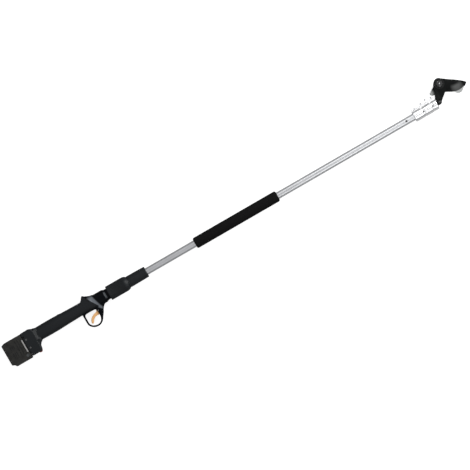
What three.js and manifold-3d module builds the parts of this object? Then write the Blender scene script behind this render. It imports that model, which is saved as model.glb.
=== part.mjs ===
// A cordless pole pruner lying on its side: battery and handle at -X, blades at +X.
// Millimetres. X runs along the pole from the battery's end, Y across it from the pole's axis
// towards the blades' pivot, Z towards the side that the moving blade is on.
import * as THREE from "three";
import { mergeVertices } from "three/addons/utils/BufferGeometryUtils.js";
import Module from "manifold-3d";

const wasm = await Module();
wasm.setup();

// ---- driving dimensions, in mm ----
const HALF_DEPTH = 26.5; // battery, base and collar nut, and the height of the pole's axis
const CLEAR = 0.3; // running and assembly gap
const ROUND = 24; // sides of a turned piece
const END = 1871; // blade tip
const TOP = 77.5; // upper edge of the blade's boss
const BOTTOM = -81; // lower edge of the trigger guard

const PACK = {
  cap: 12, y0: -61.5, y1: 31.5, wall: 3, front: 66.8, bevel: 4,
  line: [[0, -50], [10, -54], [14, -61.5], [76, -61.5], [76, 31.5], [12, 31.5], [0, 27]],
};
const CELL = { r: 9.2, pitch: 20, rows: [-39.2, -20.6, -2, 16.6], x0: 3.6, x1: 66, holder: 3 };
const PANEL = { x0: 20, x1: 66, y0: -38, y1: 22, sink: 1, thick: 0.7 };
const STRIPE = { x0: 70, x1: 75, y0: -36, y1: 11.5 };
const GAUGE = { x: 66, y: -46, r: 5.6 };
const RAIL = { y0: -40, y1: 29, head: 17, neck: 12, x0: 69.6, x1: 73 };
const BASE = {
  y0: -53.8, y1: 29.5, x1: 116, wall: 3, bevel: 5,
  line: [[78, -55.6], [86, -57], [117, -57], [120, -48], [122, -38], [127, -31], [135, -25], [135, 24.4],
    [125, 27.4], [108, 33.4], [78, 32.4]],
};
const PLATE = { x0: 77.7, x1: 82.2, y0: -48.4 };
const LATCH = {
  x0: 74.4, x1: 112, y0: -53.2, y1: -49.4, half: 5, knobHalf: 6,
  knob: [[106.5, -58.6], [109, -60.2], [115, -60.2], [118.4, -56], [118.4, -52.4], [106.5, -52.4]],
};
const SHELL_SCREWS = [["shell_screw_upper", 87, 4], ["shell_screw_lower", 87.5, -27.5]];
const SHELL_SCREW = [26, 3.4, 2.4, 1.6, 40]; // height, head, head's thickness, shank, length

const GRIP = { y: 0.7, flat: 0.88, wall: 2.8 };
const GRIP_LINE = [[108, 23], [140, 24.6], [170, 25.2], [205, 25], [250, 23.2], [300, 21.8],
  [352, 22.4], [366, 22.6]];
const NOSE_LINE = [[338, 22.4], [360, 23.5], [396, 23.5], [404, 22.4], [410, 20], [416, 20]];
const HUMP = [[308, 12], [314, 22], [321, 28.6], [326, 36], [330, 39], [336, 34.4], [345, 30.4],
  [354, 26.6],
  [366, 23.4], [380, 12]];
const SEAM = [[330, 60], [336, 34], [341, 19], [350, 11], [354, -1], [357, -11], [362, -18], [366, -60]];
const SPIGOT = { r: 18.4, x1: 470 };
const GUARD_OUT = [[299.5, -16], [299.5, -58], [301.5, -63.5], [307, -71], [318.6, -79],
  [332, -81], [341, -79.2],
  [348.6, -74.8], [354, -70], [362, -58.5], [370, -47], [375, -38], [383, -28], [392, -21],
  [392, -10], [299.5, -10]];
const GUARD_IN = [[305.3, -8], [305.3, -57], [307.5, -62.5], [313, -69], [321, -73.6],
  [331, -75.6], [341, -73.4],
  [348.4, -66.5], [353.4, -54], [356, -46], [357, -36], [357, -8]];
const GUARD_HALF = 9;
const TRIGGER = {
  x: 356, y: -33, pin: 2, half: 6,
  line: [[350, -19], [358, -19], [362, -30], [361, -39], [357, -45], [351, -42.6], [342, -42.6],
    [333, -46.6],
    [325.5, -53], [320.5, -62.6], [317, -64.4], [314.4, -61.4], [318.5, -50], [328, -40.8], [339, -36.2],
    [348, -35], [349, -25]],
};
const BUTTON = { x: 225, r: 5, top: 25.9, foot: 20.4 };

const POLE = { r: 12.5, bore: 11, x0: 385, x1: 1660 };
const NUT = { x0: 417, shoulder: 485, x1: 498, r: 26.5, end: 21.5, bore: 19, teeth: 30, tooth: 0.9 };
const SOCKET = { x0: 498.5, x1: 570, r0: 21, r1: 20 };
const FOAM = { x0: 766, x1: 1100, r: 20, round: 6 };
const CABLE = { r: 2.8, z: -7.6, x0: 240, x1: 1514 };
const POLE_SCREW = { x: 1620.6, head: 4, shank: 2, z: 14.4 };

const MOTOR = { x0: 1515, x1: 1559.4, r: 10.5 };
const GEARBOX = { x0: 1560, x1: 1655, r: 10.7, cup: 8.6, cupX: 1638 };
const BARREL = { x0: 1652, x1: 1744, r: 20, cavity: 11 };
const BEARING = { x0: 1660.5, x1: 1667.5, r: 13 };
const BUSH = { x0: 1734, x1: 1741.5, r: 12.5 };
const WIPER = { x0: 1741.8, x1: 1743.8 };
const SCREW = { r: 4.5, journal: 4, x0: 1640, x1: 1732 };
const BALL_NUT = { x0: 1669, x1: 1685, r: 10.5 };
const ROD = { x0: 1685.2, r: 9, bore: 5.2, boreEnd: 1742, flat: 7.8, flatX: 1726 };
const KEY = { x0: 1684, x1: 1732, half: 1.5, z0: 9.4, z1: 13 };
const WEB_HALF = 7.5;
const WEB = [[1655, 8], [1655, 27], [1690, 33.6], [1725, 41], [1740, 45], [1752, 53], [1756, 56],
  [1756, 24],
  [1744, 12], [1744, 8]];
const CHEEK = { z0: -9, z1: 3.2, boss: 16, bossZ: -20 };
const WEB_SCREWS = [[1665.6, 23.5], [1693, 28], [1713.4, 32.5], [1734.6, 28.5]];
const BARREL_SCREWS = [1689.4, 1726.4];
const GROOVES = [1694, 1702, 1710, 1718]; // cooling grooves across the barrel

const PIVOT = { x: 1785, y: 56, r: 6, boss: 21.5 };
const PIN = { x: 1754, r: 2.6, head: 4.2 };
const HOOK_Z = [3.5, 8];
const BLADE_Z = [8.3, 12.8];
const SLOT = { half: 3.45, near: 53, far: 68, lead: 0.62 };
const BLADE = [[1785, 77.5], [1792, 75.5], [1800, 69.5], [1810, 62.5], [1820, 54.8], [1840, 41.5],
  [1850, 33.5],
  [1862, 24.5], [1869, 17.5], [1871, 14], [1860, 8.4], [1850, 4.9], [1838, 3.2], [1827, 4.2],
  [1818, 7], [1808, 12],
  [1800, 16.8], [1792, 21.5], [1787, 19.5], [1780, 13.5], [1770, 5.5], [1763, -1], [1759, -6], [1754, -9],
  [1749, -7.6], [1746.4, -2.5], [1746, 11.5], [1748.6, 23.5], [1755, 35.5], [1759.5, 49.5], [1763.5, 61],
  [1769, 69.6], [1777, 75.6]];
const HOOK = [[1760, 30], [1787, 21.6], [1800, 15.2], [1810, 9.4], [1819, 5.4], [1823, 0.6], [1829, -4.4],
  [1836, -6.6], [1843.5, -5], [1850, 0.8], [1860, 5.4], [1870, 12.6], [1868, 15.4], [1855, 13.2],
  [1840, 13.4],
  [1826, 17.6], [1815, 24.4], [1807.6, 33], [1804, 44], [1803.6, 56], [1798.4, 69], [1786, 74.6],
  [1773, 70.6],
  [1763.4, 58], [1755, 53], [1746, 46.8], [1740, 42.8], [1739, 38], [1743, 33], [1750, 30.4]];
const TANG_SEAT = [[1738.2, 70], [1738.2, 37.6], [1742.4, 32], [1750, 29.6], [1762, 29.6], [1762, 70]];
const HOOK_SCREWS = [[1771, 41], [1796, 40]];

// ---- shapes ----
function solid(geometry) {
  const bare = geometry.index ? geometry.toNonIndexed() : geometry.clone();
  bare.deleteAttribute("normal");
  bare.deleteAttribute("uv");
  const merged = mergeVertices(bare, 1e-4);
  const at = merged.attributes.position;
  const corners = merged.index.array;
  const kept = [];
  let volume = 0;
  const p = [0, 1, 2].map(() => new THREE.Vector3());
  for (let i = 0; i < corners.length; i += 3) {
    const [a, b, c] = corners.slice(i, i + 3);
    if (a === b || b === c || c === a) continue;
    kept.push([a, b, c]);
    [a, b, c].forEach((corner, k) => p[k].fromBufferAttribute(at, corner));
    volume += p[0].dot(p[1].cross(p[2]));
  }
  const faces = volume < 0 ? kept.map(([a, b, c]) => [a, c, b]) : kept;
  const triVerts = new Uint32Array(faces.flat());
  return new wasm.Manifold(new wasm.Mesh({ numProp: 3, vertProperties: at.array, triVerts }));
}

const outline = (points) => new THREE.Shape(points.map(([x, y]) => new THREE.Vector2(x, y)));

// An outline in X and Y, made solid from z0 to z1, with its two rims chamfered by bevel.
function prism(points, z0, z1, bevel = 0) {
  const shape = outline(points);
  const rims = bevel
    ? { bevelEnabled: true, bevelThickness: bevel, bevelSize: bevel, bevelOffset: -bevel, bevelSegments: 2 }
    : { bevelEnabled: false };
  const made = new THREE.ExtrudeGeometry(shape, { depth: z1 - z0 - 2 * bevel, steps: 1, ...rims });
  return solid(made.translate(0, 0, z0 + bevel));
}

// A profile of [x, radius] points turned about the pole's axis.
function turned(profile, sides = ROUND) {
  const points = profile.map(([x, r]) => new THREE.Vector2(r, x));
  return solid(new THREE.LatheGeometry(points, sides).rotateZ(-Math.PI / 2));
}

const rod = (x0, x1, r, sides = ROUND) => turned([[x0, 0], [x0, r], [x1, r], [x1, 0]], sides);

const ring = (x0, x1, inner, outer, sides = ROUND) =>
  turned([[x0, inner], [x0, outer], [x1, outer], [x1, inner], [x0, inner]], sides);

function disc(x, y, z0, z1, r, sides = 20) {
  const made = new THREE.CylinderGeometry(r, r, z1 - z0, sides).rotateX(Math.PI / 2);
  return solid(made.translate(x, y, (z0 + z1) / 2));
}

function box(x0, x1, y0, y1, z0, z1) {
  const made = new THREE.BoxGeometry(x1 - x0, y1 - y0, z1 - z0);
  return solid(made.translate((x0 + x1) / 2, (y0 + y1) / 2, (z0 + z1) / 2));
}

const join = (...solids) => solids.reduce((all, one) => all.add(one));
const cut = (from, ...tools) => tools.reduce((left, one) => left.subtract(one), from);

// A machine screw along Z with its head's face at z; it points towards -Z.
const screw = (x, y, z, head, thick, shank, length) =>
  join(disc(x, y, z - thick, z, head, 12), disc(x, y, z - length, z - thick + 0.1, shank, 8));

const screwHole = (x, y, z, head, thick, shank, length) =>
  join(
    disc(x, y, z - thick - CLEAR, z + 20, head + CLEAR, 12),
    disc(x, y, z - length - CLEAR, z, shank + CLEAR, 8),
  );

// ---- finishes: colour, roughness and metalness ----
const FINISH = {
  body: [0x2a2f33, 0.5, 0],
  gloss: [0x202428, 0.22, 0],
  battery: [0x3b3a37, 0.6, 0],
  dark: [0x17191b, 0.6, 0],
  grey: [0xa9a9a6, 0.5, 0],
  red: [0xa8322a, 0.5, 0],
  orange: [0xe68a2e, 0.45, 0],
  foam: [0x1b1b1b, 0.95, 0],
  tube: [0xc4c6c8, 0.35, 0.9],
  silver: [0xc9cbcc, 0.4, 0.8],
  blade: [0x161818, 0.35, 0.6],
  steel: [0x9a9c9e, 0.3, 1],
  brass: [0xb58a3c, 0.35, 1],
  green: [0x1f5a3a, 0.6, 0],
  black: [0x111213, 0.45, 0.3],
};

const tool = new THREE.Group();
tool.name = "pole_pruner";
tool.position.set(-END / 2, -(TOP + BOTTOM) / 2, HALF_DEPTH);

function piece(name, made, finish) {
  const data = made.getMesh();
  const geometry = new THREE.BufferGeometry();
  geometry.setAttribute("position", new THREE.BufferAttribute(data.vertProperties, data.numProp));
  geometry.setIndex(new THREE.BufferAttribute(data.triVerts, 1));
  geometry.computeVertexNormals();
  const [color, roughness, metalness] = FINISH[finish];
  const mesh = new THREE.Mesh(geometry, new THREE.MeshStandardMaterial({ color, roughness, metalness }));
  mesh.name = name;
  tool.add(mesh);
}

// ---- battery ----
function batteryHollow() {
  const { y0, y1, wall, front } = PACK;
  const inner = HALF_DEPTH - wall;
  const [low, high] = [y0 + wall, y1 - wall];
  const line = [[2.4, -48.8], [11, -51.6], [16, low], [front, low], [front, high], [13, high], [2.4, 26.2]];
  return prism(line, -inner, inner);
}

// The slot that the base's rail stands in, open at the front and at the battery's upper end.
function railSlot() {
  const gap = 0.5;
  const { x0, x1, y0, head, neck } = RAIL;
  const wide = box(x0 - gap, x1 + gap, y0 - gap, 60, -head - gap, head + gap);
  const narrow = box(x0, 90, y0 - gap, 60, -neck - gap, neck + gap);
  const groove = box(LATCH.x0 - 0.6, 90, -57, 60, -LATCH.half - 0.6, LATCH.half + 0.6);
  return join(wide, narrow, groove);
}

function battery() {
  const block = cut(prism(PACK.line, -HALF_DEPTH, HALF_DEPTH, PACK.bevel), batteryHollow());
  const sunk = HALF_DEPTH - PANEL.sink;
  const panelSeat = box(PANEL.x0, PANEL.x1, PANEL.y0, PANEL.y1, sunk, 40);
  const stripeSeat = box(STRIPE.x0, STRIPE.x1, STRIPE.y0, STRIPE.y1, sunk, 40);
  const gaugeHole = disc(GAUGE.x, GAUGE.y, 19, 40, GAUGE.r + CLEAR);
  const contacts = box(66, 69.3, -21, 11, -8, 8);
  const ahead = block.intersect(box(PACK.cap, 100, -90, 60, -40, 40));
  piece("battery_case", cut(ahead, railSlot(), panelSeat, stripeSeat, gaugeHole, contacts), "battery");
  piece("battery_end_cap", block.intersect(box(-5, PACK.cap - 0.2, -90, 60, -40, 40)), "battery");
  const low = sunk + 0.1;
  const inset = (p, finish, name) =>
    piece(name, box(p.x0 + CLEAR, p.x1 - CLEAR, p.y0 + CLEAR, p.y1 - CLEAR, low, low + PANEL.thick), finish);
  inset(PANEL, "dark", "battery_panel");
  inset(STRIPE, "grey", "battery_stripe");
  piece("gauge_button", disc(GAUGE.x, GAUGE.y, 22, HALF_DEPTH - 0.1, GAUGE.r), "grey");
  piece("battery_contacts", box(66.9, 68.8, -20.4, 10.4, -7.4, 7.4), "brass");
  const cells = CELL.rows.flatMap((y) => [-1, 1].map((side) =>
    rod(CELL.x0 + 0.5, CELL.x1 - 0.5, CELL.r, 14).translate([0, y, (side * CELL.pitch) / 2])));
  const ends = [[CELL.x0, CELL.x0 + CELL.holder], [CELL.x1 - CELL.holder, CELL.x1]];
  const holders = ends.map(([x0, x1]) => box(x0, x1, -48, 25.4, -19, 19));
  piece("battery_cells", join(...holders, ...cells), "grey");
}

// ---- handle ----
const closed = (line, grow = 0) => {
  const [first, last] = [line[0], line[line.length - 1]];
  return [[first[0], 0], ...line.map(([x, r]) => [x, r + grow]), [last[0], 0]];
};

const flattened = (line) => turned(line).scale([1, 1, GRIP.flat]).translate([0, GRIP.y, 0]);
const gripCore = (grow = 0) => flattened(closed(GRIP_LINE, grow));

function handleOuter() {
  const block = prism(BASE.line, -HALF_DEPTH, HALF_DEPTH, BASE.bevel);
  const hump = prism(HUMP, -17, 17, 2);
  return join(block, gripCore(), turned(closed(NOSE_LINE)), hump);
}

function handleHollow() {
  const inner = HALF_DEPTH - BASE.wall;
  const bore = flattened(closed(GRIP_LINE.filter(([x]) => x < 360), -GRIP.wall));
  const nose = rod(340, 378, 18);
  return join(box(60, BASE.x1, BASE.y0, BASE.y1, -inner, inner), bore, nose);
}

function guard() {
  const hoop = cut(prism(GUARD_OUT, -GUARD_HALF, GUARD_HALF, 2.4), prism(GUARD_IN, -20, 20));
  const above = behindSeam(0).intersect(box(0, 400, -22.4, 60, -40, 40));
  return cut(hoop, gripCore(CLEAR).intersect(box(0, 352, -90, 60, -40, 40)), above);
}

const triggerSlot = () => box(338, 364, -50, -12, -TRIGGER.half - 0.7, TRIGGER.half + 0.7);

const behindSeam = (shift) =>
  prism([...SEAM.map(([x, y]) => [x + shift, y]), [366, -90], [0, -90], [0, 60]], -40, 40);

// The screws' posts stand on the mid-plane and stop short of the faces' inner sides.
const posts = () => join(...SHELL_SCREWS.map(([, x, y]) => disc(x, y, -24, 24, 4.4)));

function handleShells() {
  const buttonHole = rod(10, 40, BUTTON.r + CLEAR, 20).rotate([0, 0, 90]).translate([BUTTON.x, 0, 0]);
  const latchSlot = box(105.4, 125, -70, -51.6, -6.6, 6.6);
  const holes = SHELL_SCREWS.map(([, x, y]) => screwHole(x, y, ...SHELL_SCREW));
  const outer = handleOuter();
  const shell = join(cut(outer, handleHollow()), posts().intersect(outer));
  const rear = cut(shell.intersect(behindSeam(-CLEAR)), buttonHole, latchSlot, triggerSlot(), ...holes);
  piece("handle_shell_front", rear.intersect(box(0, 500, -90, 90, 0.1, 40)), "body");
  piece("handle_shell_back", rear.intersect(box(0, 500, -90, 90, -40, -0.1)), "body");
  SHELL_SCREWS.forEach(([name, x, y]) => piece(name, screw(x, y, ...SHELL_SCREW), "steel"));
}

function nose() {
  const shell = cut(handleOuter(), handleHollow(), behindSeam(0));
  const spigot = rod(415, SPIGOT.x1, SPIGOT.r);
  const pinHole = disc(TRIGGER.x, TRIGGER.y, -20, 20, TRIGGER.pin + 0.2);
  const bores = join(rod(370, 480, POLE.bore), rod(POLE.x0 - 0.3, 480, POLE.r + 0.25));
  piece("nose_and_guard", cut(join(shell, spigot, guard()), bores, triggerSlot(), pinHole), "gloss");
}

function triggerGroup() {
  const { x, y, pin, half, line } = TRIGGER;
  const springSeat = disc(x, y, -2.6, 2.6, 5.2);
  const body = cut(prism(line, -half, half, 1), disc(x, y, -20, 20, pin + 0.2), springSeat);
  piece("trigger", body, "orange");
  piece("trigger_pin", disc(x, y, -GUARD_HALF + 0.4, GUARD_HALF - 0.4, pin, 16), "steel");
  piece("trigger_spring", cut(disc(x, y, -2.2, 2.2, 4.4), disc(x, y, -9, 9, pin + 0.4, 16)), "steel");
  piece("trigger_switch", join(box(330, 347, -11, 1, -4, 4), box(345, 348.4, -16, -9, -2, 2)), "dark");
}

function handleInner() {
  const inner = HALF_DEPTH - BASE.wall;
  const plate = box(PLATE.x0, PLATE.x1, PLATE.y0, BASE.y1 - CLEAR, -inner + CLEAR, inner - CLEAR);
  const { x0, x1, y0, y1, head, neck } = RAIL;
  const rail = join(box(x0, x1, y0, y1, -head, head), box(x1 - 1, 79, y0, y1, -neck, neck));
  const tongueSlots = [-5, 5].map((z) => box(60, 74, -18, 8, z - 1, z + 1));
  piece("battery_mount", cut(join(plate, rail), ...tongueSlots), "dark");
  const bar = box(LATCH.x0, LATCH.x1, LATCH.y0, LATCH.y1, -LATCH.half, LATCH.half);
  piece("release_latch", join(bar, prism(LATCH.knob, -LATCH.knobHalf, LATCH.knobHalf)), "red");
  const board = box(150, 236, -10, 10, 3, 4.8);
  const capacitors = box(160, 190, -8, 8, 4.5, 12);
  const heatSink = box(200, 222, -7, 7, 0, 3.2);
  piece("controller", join(board, capacitors, heatSink), "green");
  const post = rod(BUTTON.foot, BUTTON.top, BUTTON.r, 20).rotate([0, 0, 90]).translate([BUTTON.x, 0, 0]);
  piece("power_button", post, "grey");
}

// ---- pole ----
function pole() {
  const screwWay = disc(POLE_SCREW.x, 0, 0, 30, POLE_SCREW.shank + CLEAR, 12);
  piece("pole_tube", cut(ring(POLE.x0, POLE.x1, POLE.bore, POLE.r, 32), screwWay), "tube");
  const flutes = [];
  for (let i = 0; i < 2 * NUT.teeth; i += 1) {
    const angle = (Math.PI * i) / NUT.teeth;
    const r = NUT.r - (i % 2 ? NUT.tooth : 0);
    flutes.push([r * Math.cos(angle), r * Math.sin(angle)]);
  }
  const fluted = prism(flutes, NUT.x0, NUT.shoulder).rotate([0, 90, 0]);
  const cone = turned([[NUT.shoulder - 1, 0], [NUT.shoulder - 1, 25], [NUT.x1, NUT.end], [NUT.x1, 0]]);
  const nutBore = join(rod(400, 486, NUT.bore), rod(400, 510, POLE.r + CLEAR));
  piece("collar_nut", cut(join(fluted, cone), nutBore), "body");
  piece("collet", ring(SPIGOT.x1 + CLEAR, 485.6, POLE.r + 0.2, SPIGOT.r), "dark");
  const sleeve = [[SOCKET.x0, POLE.r + 0.2], [SOCKET.x0, SOCKET.r0], [SOCKET.x1 - 3, SOCKET.r1],
    [SOCKET.x1, SOCKET.r1 - 2], [SOCKET.x1, POLE.r + 0.2], [SOCKET.x0, POLE.r + 0.2]];
  piece("pole_socket", turned(sleeve), "body");
  const { x0, x1, r, round } = FOAM;
  const edge = r - round;
  const foam = [[x0, POLE.r + 0.2], [x0, edge], [x0 + 2, r - 2], [x0 + round, r],
    [x1 - round, r], [x1 - 2, r - 2], [x1, edge], [x1, POLE.r + 0.2], [x0, POLE.r + 0.2]];
  piece("foam_grip", turned(foam), "foam");
  piece("power_cable", rod(CABLE.x0, CABLE.x1, CABLE.r, 12).translate([0, 0, CABLE.z]), "dark");
  const head = disc(POLE_SCREW.x, 0, 8, POLE_SCREW.z, POLE_SCREW.head, 16);
  const seated = cut(head, rod(1600, 1640, POLE.r + 0.15, 32));
  piece("pole_screw", join(seated, disc(POLE_SCREW.x, 0, 6.5, 13.5, POLE_SCREW.shank, 12)), "black");
}

// ---- head ----
const arc = (x, y, r, from, to, steps) =>
  Array.from({ length: steps + 1 }, (_, i) => {
    const angle = ((from + ((to - from) * i) / steps) * Math.PI) / 180;
    return [x + r * Math.cos(angle), y + r * Math.sin(angle)];
  });

function headHollow() {
  const groove = box(KEY.x0 - CLEAR, KEY.x1 + CLEAR, -KEY.half - CLEAR, KEY.half + CLEAR, 5, KEY.z1 + CLEAR);
  return join(
    rod(1640, POLE.x1 + CLEAR, POLE.r + 0.25),
    rod(POLE.x1, BEARING.x1 + CLEAR, BEARING.r + 0.2),
    rod(1660, 1735, BARREL.cavity),
    rod(BUSH.x0 - 0.2, 1760, BUSH.r + 0.2),
    groove,
  );
}

const webScrew = ([x, y]) => [x, y, WEB_HALF + 0.6, 2.6, 2, 1.3, 12];
const barrelScrew = (x) => [x, 0, BARREL.r - 0.2, 2.9, 2.4, 1.3, 8.4];
const hookScrew = ([x, y]) => [x, y, HOOK_Z[1] - 0.1, 3.4, 2, 1.8, 12];

function housing() {
  const cooling = GROOVES.map((x) => box(x, x + 3, -13, 13, 18.4, 30));
  const barrel = ring(BARREL.x0, BARREL.x1, 5, BARREL.r, 32);
  const outer = join(barrel, prism(WEB, -WEB_HALF, WEB_HALF, 1.2));
  const open = cut(outer, headHollow());
  const screws = [...WEB_SCREWS.map(webScrew), ...BARREL_SCREWS.map(barrelScrew)];
  const upper = open.intersect(box(1600, 1800, -40, 90, 0.1, 40));
  const front = cut(upper, ...cooling, prism(TANG_SEAT, CHEEK.z1, 20));
  piece("housing_front", cut(front, ...screws.map((s) => screwHole(...s))), "silver");
  const crown = arc(PIVOT.x, PIVOT.y, 17, 140, -45, 9);
  const cheekLine = [[1756.6, 24], [1780, 26], [1799, 33], ...crown.reverse(), [1764, 62], [1756.6, 56.4]];
  const cheek = join(
    prism(cheekLine, CHEEK.z0, CHEEK.z1),
    disc(PIVOT.x, PIVOT.y, CHEEK.bossZ, CHEEK.z1 - 1, CHEEK.boss, 24),
    box(1750, 1762, 26, 52, CHEEK.z0 + 1.6, -0.4),
  );
  const back = join(open.intersect(box(1600, 1800, -40, 90, -40, -0.1)), cheek);
  const pivotHole = disc(PIVOT.x, PIVOT.y, -40, 40, PIVOT.r + 0.25, 24);
  const holes = [...WEB_SCREWS.map(webScrew), ...HOOK_SCREWS.map(hookScrew)].map((s) => screwHole(...s));
  piece("housing_back", cut(back, pivotHole, ...holes), "silver");
  WEB_SCREWS.forEach((at, i) => piece(`housing_screw_${i + 1}`, screw(...webScrew(at)), "steel"));
  BARREL_SCREWS.forEach((x, i) => piece(`barrel_screw_${i + 1}`, screw(...barrelScrew(x)), "steel"));
}

function drive() {
  const way = disc(POLE_SCREW.x, 0, 0, 30, POLE_SCREW.shank + CLEAR, 12);
  const cup = rod(GEARBOX.cupX, 1700, GEARBOX.cup);
  piece("gearbox", cut(rod(GEARBOX.x0, GEARBOX.x1, GEARBOX.r), cup, way), "steel");
  piece("motor", rod(MOTOR.x0, MOTOR.x1, MOTOR.r), "steel");
  piece("screw_bearing", ring(BEARING.x0, BEARING.x1, SCREW.journal + 0.25, BEARING.r), "steel");
  const { r, journal, x0, x1 } = SCREW;
  const line = [[x0, 0], [x0, 8], [1652, 8], [1652, journal], [1668.2, journal], [1668.2, r], [x1, r], [x1, 0]];
  piece("drive_screw", turned(line), "steel");
  const keyway = box(1660, 1700, -KEY.half - 0.25, KEY.half + 0.25, KEY.z0 - 0.4, 20);
  piece("ball_nut", cut(ring(BALL_NUT.x0, BALL_NUT.x1, r + 0.4, BALL_NUT.r), keyway), "steel");
  const keyHoles = BARREL_SCREWS.map((x) => screwHole(...barrelScrew(x)));
  piece("guide_key", cut(box(KEY.x0, KEY.x1, -KEY.half, KEY.half, KEY.z0, KEY.z1), ...keyHoles), "brass");
  const full = rod(ROD.x0, PIN.x + 8.5, ROD.r);
  const end = join(box(1600, PIN.x, -20, 20, -20, 20), disc(PIN.x, 0, -20, 20, 8.5));
  const flats = join(
    box(ROD.flatX, 1800, -20, 20, ROD.flat, 30),
    box(ROD.flatX, 1800, -20, 20, -30, -ROD.flat),
  );
  const screwBore = rod(1600, ROD.boreEnd, ROD.bore);
  const pinHole = disc(PIN.x, 0, -6, 30, PIN.r + 0.1);
  piece("push_rod", cut(full.intersect(end), flats, screwBore, pinHole), "steel");
  piece("guide_bush", ring(BUSH.x0, BUSH.x1, ROD.r + 0.25, BUSH.r), "brass");
  piece("rod_wiper", ring(WIPER.x0, WIPER.x1, ROD.r + 0.2, BUSH.r), "dark");
  const shank = disc(PIN.x, 0, -5.8, BLADE_Z[1] + 1.6, PIN.r, 16);
  const head = disc(PIN.x, 0, BLADE_Z[1] + CLEAR, BLADE_Z[1] + 2, PIN.head, 20);
  piece("drive_pin", join(shank, head), "steel");
}

// The lever's slot runs along the line from the pivot, turned back a little from the pin.
function leverSlot() {
  const reach = Math.atan2(-PIVOT.y, PIN.x - SLOT.lead - PIVOT.x);
  const half = SLOT.half;
  const way = [[SLOT.near, -half], [SLOT.far, -half], [SLOT.far, half], [SLOT.near, half]];
  const turn = ([along, across]) => [
    PIVOT.x + along * Math.cos(reach) - across * Math.sin(reach),
    PIVOT.y + along * Math.sin(reach) + across * Math.cos(reach),
  ];
  return prism(way.map(turn), 0, 20);
}

function blades() {
  const bore = () => disc(PIVOT.x, PIVOT.y, -40, 40, PIVOT.r + 0.25, 24);
  const boss = disc(PIVOT.x, PIVOT.y, BLADE_Z[0] + 1, BLADE_Z[1] + 1.4, 18.5, 28);
  const rounding = disc(PIVOT.x, PIVOT.y, ...BLADE_Z, PIVOT.boss - 0.2, 32);
  piece("moving_blade", cut(join(prism(BLADE, ...BLADE_Z), boss, rounding), bore(), leverSlot()), "blade");
  const holes = HOOK_SCREWS.map((at) => screwHole(...hookScrew(at)));
  piece("hook_blade", cut(prism(HOOK, ...HOOK_Z), bore(), ...holes), "blade");
  HOOK_SCREWS.forEach((at, i) => piece(`hook_screw_${i + 1}`, screw(...hookScrew(at)), "black"));
  const top = BLADE_Z[1] + 1.6;
  piece("pivot_bolt", disc(PIVOT.x, PIVOT.y, -24, 19.4, PIVOT.r, 20), "steel");
  const through = disc(PIVOT.x, PIVOT.y, -40, 40, PIVOT.r + 0.2, 20);
  piece("pivot_nut_front", cut(disc(PIVOT.x, PIVOT.y, top, top + 4, 11.5, 24), through), "black");
  piece("pivot_nut_back", cut(disc(PIVOT.x, PIVOT.y, -HALF_DEPTH, CHEEK.bossZ - 0.2, 11, 6), through), "black");
}

battery();
handleShells();
nose();
triggerGroup();
handleInner();
pole();
housing();
drive();
blades();

export default tool;
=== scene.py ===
"""A cordless pole pruner, modelled piece by piece around its CAD frame.

Pieces are shaped in millimetres along the pole: X from the battery's end, Y from the pole's axis
towards the blades' pivot, Z from the axis towards the moving blade. place() moves each into the frame.
"""

import math

import bmesh
import bpy
from mathutils import Matrix, Vector


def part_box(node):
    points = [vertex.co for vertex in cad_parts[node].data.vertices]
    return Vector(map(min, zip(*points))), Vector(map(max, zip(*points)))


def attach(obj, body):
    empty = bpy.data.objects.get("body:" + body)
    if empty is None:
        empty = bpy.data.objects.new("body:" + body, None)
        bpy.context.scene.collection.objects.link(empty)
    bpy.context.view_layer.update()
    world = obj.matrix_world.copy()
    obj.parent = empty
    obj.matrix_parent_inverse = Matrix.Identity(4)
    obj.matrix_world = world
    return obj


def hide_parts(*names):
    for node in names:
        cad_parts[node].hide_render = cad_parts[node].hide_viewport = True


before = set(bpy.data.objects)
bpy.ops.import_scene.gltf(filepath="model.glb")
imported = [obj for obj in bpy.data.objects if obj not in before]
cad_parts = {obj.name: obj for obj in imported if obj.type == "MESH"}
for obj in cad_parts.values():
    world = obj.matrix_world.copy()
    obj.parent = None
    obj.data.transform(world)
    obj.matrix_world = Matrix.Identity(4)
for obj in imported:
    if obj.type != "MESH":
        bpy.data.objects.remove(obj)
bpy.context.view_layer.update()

bl_info = {
    "name": "Pole Pruner",
    "version": (1, 0, 0),
    "blender": (4, 5, 0),
    "location": "3D View > Sidebar > Pruner",
    "description": "Builds a cordless pole pruner around its CAD frame",
    "category": "Object",
}

MM = 0.001
TUBE_LOW, TUBE_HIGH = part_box("pole_tube")
BUTT = Vector((
    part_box("battery_end_cap")[0].x,
    (TUBE_LOW.y + TUBE_HIGH.y) / 2,
    (TUBE_LOW.z + TUBE_HIGH.z) / 2,
))
TO_FRAME = Matrix.Translation(BUTT) @ Matrix.Scale(MM, 4)


def ends(node):
    """Where a node begins and stops along the pole, in mm."""
    return tuple((corner.x - BUTT.x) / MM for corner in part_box(node))


def middle(node):
    """The middle of a node in X and Y, in mm."""
    return tuple(((a + b) / 2 - o) / MM for a, b, o in zip(*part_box(node), BUTT))[:2]


# Places along the pole, in mm, read from the frame.
FOAM_ENDS = ends("foam_grip")
NUT_ENDS = ends("collar_nut")
SOCKET_ENDS = ends("pole_socket")
BARREL_ENDS = (ends("housing_front")[0], 1744.0)
POLE_ENDS = ends("pole_tube")
PIVOT = middle("pivot_bolt")
PIN = middle("drive_pin")
HALF_DEPTH = BUTT.z / MM

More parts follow.
